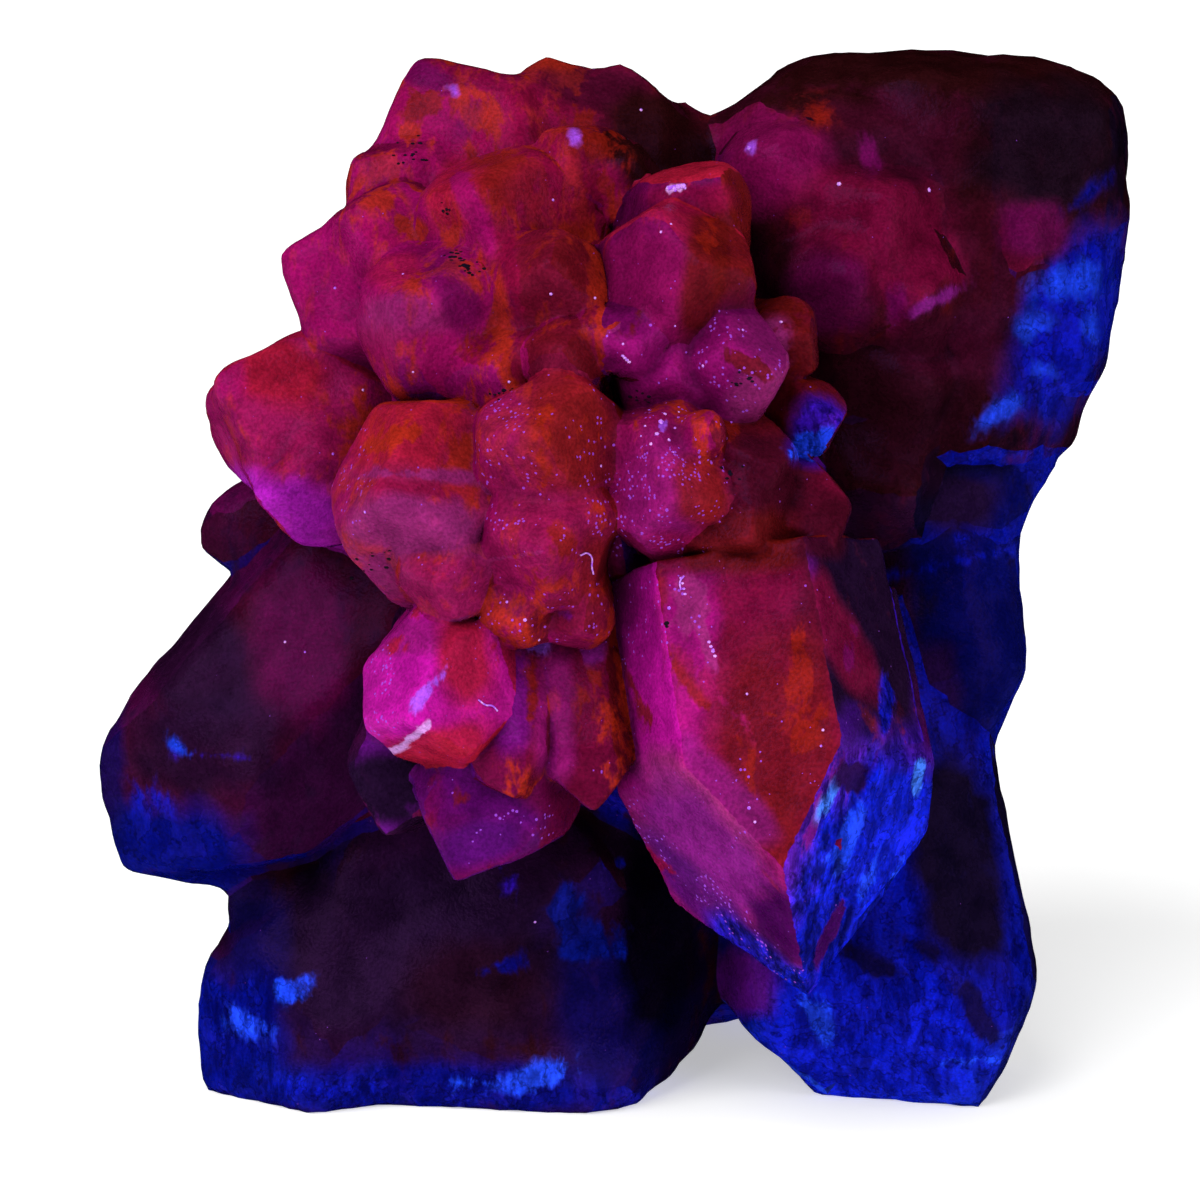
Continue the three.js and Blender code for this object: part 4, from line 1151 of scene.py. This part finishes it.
def paint_corners(mesh, facet_of_face, facets, shade):
    """Paints every face corner with its face's colours and the washes, which carry painted coloured light and
    shade, and with painted shade in the hollows and painted light on the edges.

    The tint's fourth value is how hazy the patches are, and the patch's fourth value is the share they cover.
    """
    corner_vert = np.zeros(len(mesh.loops), dtype=np.int32)
    mesh.loops.foreach_get("vertex_index", corner_vert)
    places = np.array([vert.co for vert in mesh.vertices])
    ragged = np.array([noise.noise(Vector(place) / MM * RAGGED_RATE) for place in places])[corner_vert]
    offset = (places[corner_vert] - np.array(FRONT_ORIGIN)) / MM
    right = offset @ np.array(RIGHT)
    up = offset @ np.array(UP)
    facet_of_corner = np.repeat(facet_of_face, 3)
    forward = np.array([facet.normal.dot(FORWARD) for facet in facets])[facet_of_corner]
    facing = np.interp(forward, WASHED_TURN, (0, 1))
    groups = np.array([WASHED_AS.get(facet.family, facet.family) for facet in facets])[facet_of_corner]
    sides = np.array([side_of(facet) for facet in facets])[facet_of_corner]
    paint = Paint(*(values[facet_of_corner] for values in base_paint(facets)))
    for group, washes in WASHES.items():
        chosen = np.flatnonzero((groups == group) & (facing > 0))
        for wash in washes.values():
            far = wash_distance(wash, right[chosen], up[chosen]) + RAGGED_REACH * ragged[chosen]
            strength = wash.strength * facing[chosen]
            if wash.side:
                strength = strength * (sides[chosen] == wash.side)
            lay_wash(paint, wash, chosen, far, strength)
    patched = paint.patched * (SIDE_PATCHES + (1 - SIDE_PATCHES) * facing)
    evenness = np.array([EVEN_SHADE.get(facet.family, 0) for facet in facets])[facet_of_corner]
    shade = blend(shade[corner_vert][:, None], MIDDLE_SHADE, evenness)
    store(mesh, "tint", "FLOAT_COLOR", "color", np.c_[paint.tint * shade, paint.haze])
    store(mesh, "patch", "FLOAT_COLOR", "color", np.c_[paint.patch * shade, patched])
    store(mesh, "frost", "FLOAT", "value", paint.frost)


def crystal_mesh():
    """The part's own faces, made fine, rounded, roughened and coloured, and a search tree of the result."""
    cad = bmesh.new()
    cad.from_mesh(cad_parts[NODE].data)
    bmesh.ops.remove_doubles(cad, verts=cad.verts[:], dist=WELD_DISTANCE)
    bmesh.ops.dissolve_degenerate(cad, edges=cad.edges[:], dist=WELD_DISTANCE)
    bmesh.ops.triangulate(cad, faces=[face for face in cad.faces if len(face.verts) > 3])
    cad.normal_update()
    cad_layer = cad.faces.layers.int.new("facet")
    facets = facets_of(cad, cad_layer)
    bm, facet_layer = refine(cad, cad_layer, facets)
    cad.free()
    round_edges(bm, facet_layer, facets)
    weather(bm, facet_layer, facets)
    for face in bm.faces:
        face.smooth = True
    facet_of_face = np.array([face[facet_layer] for face in bm.faces])
    shade = shading(bm)
    tree = BVHTree.FromBMesh(bm)
    mesh = bpy.data.meshes.new("crystals")
    bm.to_mesh(mesh)
    bm.free()
    paint_corners(mesh, facet_of_face, facets, shade)
    return mesh, tree


# Material nodes
def new_material(name):
    """A node material, with its node tree and its shader."""
    material = bpy.data.materials.new(name)
    material.use_nodes = True
    tree = material.node_tree
    return material, tree, tree.nodes["Principled BSDF"]


def feed(tree, sockets, values):
    """Links each named or numbered socket to another's output, or sets its plain value."""
    for key, value in values.items():
        if isinstance(value, bpy.types.NodeSocket):
            tree.links.new(value, sockets[key])
        else:
            sockets[key].default_value = value


def add_node(tree, kind, inputs=None, **settings):
    """A new node with its settings and inputs."""
    node = tree.nodes.new(kind)
    for name, value in settings.items():
        setattr(node, name, value)
    feed(tree, node.inputs, inputs or {})
    return node


def object_place(tree):
    """The place on the piece, in metres."""
    return add_node(tree, "ShaderNodeTexCoord").outputs["Object"]


def math_of(tree, operation, *values):
    """The result of one sum on values or sockets."""
    return add_node(tree, "ShaderNodeMath", dict(enumerate(values)), operation=operation).outputs["Value"]


def mix_of(tree, share, one, other, blend_type="MIX"):
    """One colour mixed with another by a share."""
    inputs = {"Factor": share, "A": one, "B": other}
    return add_node(tree, "ShaderNodeMix", inputs, data_type="RGBA", blend_type=blend_type).outputs["Result"]


def noise_of(tree, place, rate, detail=2.0, roughness=0.5, output="Fac"):
    """Cloudy noise from 0 to 1, or its colour."""
    inputs = {"Vector": place, "Scale": rate, "Detail": detail, "Roughness": roughness}
    return add_node(tree, "ShaderNodeTexNoise", inputs).outputs[output]


def cells_of(tree, place, rate):
    """A cell pattern: the distance from the middle of each cell, and a random value for each cell."""
    cells = add_node(tree, "ShaderNodeTexVoronoi", {"Vector": place, "Scale": rate})
    pick = add_node(tree, "ShaderNodeSeparateColor", {"Color": cells.outputs["Color"]})
    return cells.outputs["Distance"], pick.outputs["Red"]


def range_of(tree, value, low, high, to_low=0.0, to_high=1.0):
    """A value between low and high as one between two others, with soft ends."""
    inputs = {"Value": value, "From Min": low, "From Max": high, "To Min": to_low, "To Max": to_high}
    return add_node(tree, "ShaderNodeMapRange", inputs, interpolation_type="SMOOTHSTEP").outputs["Result"]


def stored(tree, name, output):
    """What the mesh stores at its face corners under a name."""
    return add_node(tree, "ShaderNodeAttribute", attribute_name=name).outputs[output]


def swing(tree, pattern, reach):
    """A pattern from 0 to 1 as a swing of this reach about nought."""
    return math_of(tree, "MULTIPLY_ADD", pattern, reach, -reach / 2)


def by_haze(tree, haze, crisp, hazy):
    """A value that goes from one on crisp faces to another on the haziest."""
    return math_of(tree, "MULTIPLY_ADD", haze, hazy - crisp, crisp)


# Materials
def warped(tree, place):
    """Places shifted by slow noise, so that streaks come out wavy."""
    slow = noise_of(tree, place, WARP_RATE, detail=0.0, output="Color")
    inputs = {0: slow, 1: [WARP_REACH] * 3, 2: place}
    return add_node(tree, "ShaderNodeVectorMath", inputs, operation="MULTIPLY_ADD").outputs["Vector"]


def stretched(tree, place):
    """Places turned and squeezed, so that noise comes out as slanting streaks."""
    inputs = {"Vector": place, "Rotation": (0, STREAK_TILT, 0), "Scale": STREAK_SCALE}
    return add_node(tree, "ShaderNodeMapping", inputs).outputs["Vector"]


def patched_colour(tree, streaked_place, flakes, chips):
    """The painted tint with its ragged patches, crisp on the near crystals and hazy on the others."""
    haze = stored(tree, "tint", "Alpha")
    share = stored(tree, "patch", "Alpha")
    flames = noise_of(tree, streaked_place, FLAME_RATE, roughness=0.55)
    for pattern, reach in ((flames, FLAME_REACH), (chips, CHIP_REACH), (flakes, FLAKE_REACH)):
        share = math_of(tree, "ADD", share, swing(tree, pattern, reach))
    low = by_haze(tree, haze, crisp=0.43, hazy=0.23)
    high = by_haze(tree, haze, crisp=0.57, hazy=0.87)
    covered = range_of(tree, share, low, high, to_high=0.88)
    return mix_of(tree, covered, stored(tree, "tint", "Color"), stored(tree, "patch", "Color"))


def cracked(tree, colour, flakes, chips):
    """Lighter and darker flakes with dark cracks where the colour is blue, which is painted blue light, and
    fainter where it is hazy.
    """
    haze = stored(tree, "tint", "Alpha")
    dim = by_haze(tree, haze, crisp=0.25, hazy=1.35)
    bright = by_haze(tree, haze, crisp=2.1, hazy=0.4)
    parts = add_node(tree, "ShaderNodeSeparateColor", {"Color": colour}).outputs
    excess = math_of(tree, "MULTIPLY_ADD", parts["Red"], -BLUE_OVER_RED, parts["Blue"])
    blue = range_of(tree, excess, low=0.02, high=0.2)
    light = range_of(tree, flakes, low=0.36, high=0.66, to_low=dim, to_high=bright)
    crack = math_of(tree, "ABSOLUTE", math_of(tree, "SUBTRACT", chips, 0.5))
    light = math_of(tree, "MULTIPLY", light, range_of(tree, crack, low=0.0, high=0.025, to_low=0.45))
    return mix_of(tree, blue, colour, mix_of(tree, 1.0, colour, light, "MULTIPLY"))


def sparkled(tree, colour, place, frost, chips):
    """Painted sparkles: tiny bright specks of painted highlight in loose clusters, more of them where the
    faces are frosted.
    """
    frost = math_of(tree, "MULTIPLY", frost, range_of(tree, chips, 0.42, 0.62, to_low=0.15, to_high=2.4))
    distance, random_value = cells_of(tree, place, SPARKLE_RATE)
    limit = math_of(tree, "MULTIPLY_ADD", frost, -SPARKLE_SHARE, PLAIN_SHARE)
    chosen = math_of(tree, "SUBTRACT", random_value, limit)
    radius = range_of(tree, chosen, low=0.0, high=0.1, to_low=0.12, to_high=0.38)
    near = math_of(tree, "LESS_THAN", distance, radius)
    shown = math_of(tree, "MULTIPLY", near, math_of(tree, "GREATER_THAN", chosen, 0.0))
    shown = math_of(tree, "MULTIPLY", shown, SPARKLE_COVER)
    return mix_of(tree, shown, colour, opaque("lilac"))


def citrine_material():
    """Cloudy quartz that carries its colours together with the coloured light and shade painted on it, with
    sugary grain and fine painted sparkles. Cloudy quartz that carries the photo's colours, with sugary
    grain and fine sparkles.
    """
    material, tree, shader = new_material("citrine")
    place = object_place(tree)
    streaked_place = stretched(tree, warped(tree, place))
    frost = stored(tree, "frost", "Fac")
    chips = noise_of(tree, place, CHIP_RATE, detail=3.0, roughness=0.6)
    flakes = noise_of(tree, streaked_place, FLAKE_RATE, detail=3.0, roughness=0.7)
    colour = patched_colour(tree, streaked_place, flakes, chips)
    colour = cracked(tree, colour, flakes, chips)
    grain = noise_of(tree, place, GRAIN_RATE, detail=1.0, roughness=0.6)
    chip_light = range_of(tree, chips, 0.25, 0.75, to_low=0.75, to_high=1.25)
    grain_light = range_of(tree, grain, 0.25, 0.75, to_low=0.78, to_high=1.24)
    light = math_of(tree, "MULTIPLY", chip_light, grain_light)
    colour = mix_of(tree, 1.0, colour, light, "MULTIPLY")
    clear_roughness = range_of(tree, chips, 0.3, 0.7, to_low=0.18, to_high=0.32)
    relief = {"Height": grain, "Strength": GRAIN_STRENGTH, "Distance": GRAIN_DEPTH}
    feed(tree, shader.inputs, {
        "Base Color": sparkled(tree, colour, place, frost, chips),
        "Roughness": math_of(tree, "MULTIPLY_ADD", frost, FROST_ROUGHNESS, clear_roughness),
        "Normal": add_node(tree, "ShaderNodeBump", relief).outputs["Normal"],
        "IOR": QUARTZ_IOR,
        "Transmission Weight": CLEARNESS,
        "Specular IOR Level": SHEEN,
        "Specular Tint": SHEEN_COLOUR,
    })
    inside_values = {"Color": ABSORPTION_COLOUR, "Density": ABSORPTION_DENSITY}
    absorption = add_node(tree, "ShaderNodeVolumeAbsorption", inside_values)
    feed(tree, tree.nodes["Material Output"].inputs, {"Volume": absorption.outputs["Volume"]})
    return material


def speck_group():
    """A node group that mixes two colours in fine specks."""
    group = bpy.data.node_groups.new("specks", "ShaderNodeTree")
    for name in ("One colour", "Other colour"):
        group.interface.new_socket(name, in_out="INPUT", socket_type="NodeSocketColor")
    group.interface.new_socket("Colour", in_out="OUTPUT", socket_type="NodeSocketColor")
    given = add_node(group, "NodeGroupInput").outputs
    result = add_node(group, "NodeGroupOutput").inputs
    fleck = noise_of(group, object_place(group), SPECK_RATE)
    share = range_of(group, fleck, low=0.35, high=0.65)
    feed(group, result, {"Colour": mix_of(group, share, given["One colour"], given["Other colour"])})
    return group


SPECKS = speck_group()


def speckled_material(name, one, other, roughness):
    """A small piece's material: two near colours in fine specks."""
    material, tree, shader = new_material(name)
    specks = add_node(tree, "ShaderNodeGroup", node_tree=SPECKS)
    feed(tree, specks.inputs, {"One colour": opaque(one), "Other colour": opaque(other)})
    feed(tree, shader.inputs, {"Base Color": specks.outputs["Colour"], "Roughness": roughness})
    return material


def floor_material():
    """A pale floor that glows a little, so that it stays near white."""
    material, tree, shader = new_material("pale_floor")
    feed(tree, shader.inputs, {
        "Base Color": (0.95, 0.95, 0.95, 1),
        "Roughness": 0.9,
        "Specular IOR Level": 0.1,
        "Emission Color": (1, 1, 1, 1),
        "Emission Strength": FLOOR_GLOW,
    })
    material.cycles.emission_sampling = "NONE"
    return material


# Pieces
def link_object(name, data):
    """A new object in the scene."""
    made = bpy.data.objects.new(name, data)
    bpy.context.scene.collection.objects.link(made)
    return made


def object_from(bm, name, material):
    """A new object with the shape and one material; the shape is used up."""
    mesh = bpy.data.meshes.new(name)
    bm.to_mesh(mesh)
    bm.free()
    mesh.materials.append(material)
    return link_object(name, mesh)


def make_crystals():
    """The crystals, and the search tree for laying small things on them."""
    mesh, tree = crystal_mesh()
    crystals = link_object("crystals", mesh)
    crystals.data.materials.append(citrine_material())
    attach(crystals, BODY)
    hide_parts(NODE)
    return tree


def surface_at(tree, right, up):
    """Where the camera's line through a place on the front meets the crystals, and that face's normal."""
    eye = on_front((*VIEW_MIDDLE, VIEW_DISTANCE))
    towards = (on_front((right, up, 0)) - eye).normalized()
    place, normal, _, _ = tree.ray_cast(eye, towards)
    return place, normal


def add_speck(bm, place, normal, sizes):
    """A small rounded speck half sunk into a face, used for painted glints and for grains of dirt."""
    lie = normal.to_track_quat("Z", "Y").to_matrix().to_4x4()
    matrix = Matrix.Translation(place) @ lie @ Matrix.Diagonal((*sizes, 1))
    bmesh.ops.create_icosphere(bm, subdivisions=1, radius=1, matrix=matrix)


def make_glint_specks(tree):
    """Painted highlights: the brightest glints and short streaks of light on the front, made as small bright
    specks.
    """
    bm = bmesh.new()
    for right, up, radius in GLINT_SPECKS:
        place, normal = surface_at(tree, right, up)
        if place:
            add_speck(bm, place, normal, Vector((1, 1, GLINT_HEIGHT)) * radius * MM)
    for start, end, radius in GLINT_STREAKS:
        for share in GLINT_STREAK_STEPS:
            right = start[0] + (end[0] - start[0]) * share
            up = start[1] + (end[1] - start[1]) * share
            place, normal = surface_at(tree, right, up)
            if place:
                add_speck(bm, place, normal, Vector((GLINT_STREAK_STRETCH, 1, GLINT_HEIGHT)) * radius * MM)
    material = speckled_material("glint_highlight", "pale lilac", "lilac", roughness=0.3)
    glint_piece = object_from(bm, "glint_highlights", material)
    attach(glint_piece, BODY)


def make_dirt(tree):
    """Dark grains of dirt in small clusters."""
    generator = np.random.default_rng(DIRT_SEED)
    bm = bmesh.new()
    for middle, reach, count in DIRT:
        for _ in range(count):
            right = middle[0] + reach[0] * generator.normal(0, DIRT_SCATTER)
            up = middle[1] + reach[1] * generator.normal(0, DIRT_SCATTER)
            length = generator.uniform(*DIRT_LENGTH)
            place, normal = surface_at(tree, right, up)
            if place:
                width = length * generator.uniform(*DIRT_WIDTH)
                add_speck(bm, place, normal, Vector((length, width, DIRT_THICKNESS)) * MM)
    dirt = object_from(bm, "dirt", speckled_material("dirt", "ink", "dark brown", roughness=0.8))
    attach(dirt, BODY)


def make_fibres(tree):
    """Loose fibres of lint that lie on the front."""
    curve = bpy.data.curves.new("lint", "CURVE")
    curve.dimensions = "3D"
    curve.bevel_depth = FIBRE_RADIUS
    curve.bevel_resolution = 1
    curve.resolution_u = 6
    curve.use_fill_caps = True
    for fibre in FIBRES:
        hits = [surface_at(tree, right, up) for right, up in fibre]
        places = [place + normal * FIBRE_RADIUS for place, normal in hits if place]
        spline = curve.splines.new("BEZIER")
        spline.bezier_points.add(len(places) - 1)
        for point, place in zip(spline.bezier_points, places):
            point.co = place
            point.handle_left_type = "AUTO"
            point.handle_right_type = "AUTO"
    drawn = bpy.data.objects.new("lint_curve", curve)
    mesh = bpy.data.meshes.new_from_object(drawn)
    bpy.data.objects.remove(drawn)
    mesh.materials.clear()
    mesh.materials.append(speckled_material("lint", "pale lilac", "lilac", roughness=0.8))
    lint = link_object("lint", mesh)
    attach(lint, BODY)


# Studio
def make_floor():
    """The floor that the cluster stands on, which its faces don't mirror."""
    bm = bmesh.new()
    bmesh.ops.create_grid(bm, x_segments=1, y_segments=1, size=FLOOR_SIZE)
    floor = object_from(bm, "floor", floor_material())
    floor.visible_glossy = False


def make_camera():
    """The camera, square to the leaning front."""
    data = bpy.data.cameras.new("camera")
    data.sensor_width = SENSOR_WIDTH
    data.lens = SENSOR_WIDTH * VIEW_DISTANCE / VIEW_WIDTH
    data.clip_start = 0.01
    camera = link_object("camera", data)
    camera.location = on_front((*VIEW_MIDDLE, VIEW_DISTANCE))
    camera.rotation_euler = (-FORWARD).to_track_quat("-Z", "Y").to_euler()
    bpy.context.scene.camera = camera


def make_suns():
    """The wide soft lights."""
    for name, sun in SUNS.items():
        data = bpy.data.lights.new(name, "SUN")
        data.energy = sun.strength
        data.angle = SUN_WIDTH
        light = link_object(name, data)
        light.visible_glossy = sun.mirrored
        light.rotation_euler = Vector(sun.towards).to_track_quat("Z", "Y").to_euler()


def make_sky():
    """A sky that the camera sees as white, and that lights the cluster more weakly."""
    world = bpy.data.worlds.new("studio")
    world.use_nodes = True
    tree = world.node_tree
    seen = add_node(tree, "ShaderNodeLightPath").outputs["Is Camera Ray"]
    strength = math_of(tree, "MULTIPLY_ADD", seen, 1 - SKY_LIGHT, SKY_LIGHT)
    feed(tree, tree.nodes["Background"].inputs, {"Color": (1, 1, 1, 1), "Strength": strength})
    bpy.context.scene.world = world
    world.cycles_visibility.glossy = False


def set_light_paths():
    """Plain colours, and only as many bounces of light as the cloudy crystals need."""
    scene = bpy.context.scene
    scene.view_settings.view_transform = "Standard"
    scene.cycles.caustics_reflective = False
    scene.cycles.caustics_refractive = False
    scene.cycles.max_bounces = 3
    scene.cycles.diffuse_bounces = 1
    scene.cycles.glossy_bounces = 1
    scene.cycles.transmission_bounces = 2


make_floor()
make_camera()
make_suns()
make_sky()
set_light_paths()
surface = make_crystals()
make_glint_specks(surface)
make_dirt(surface)
make_fibres(surface)
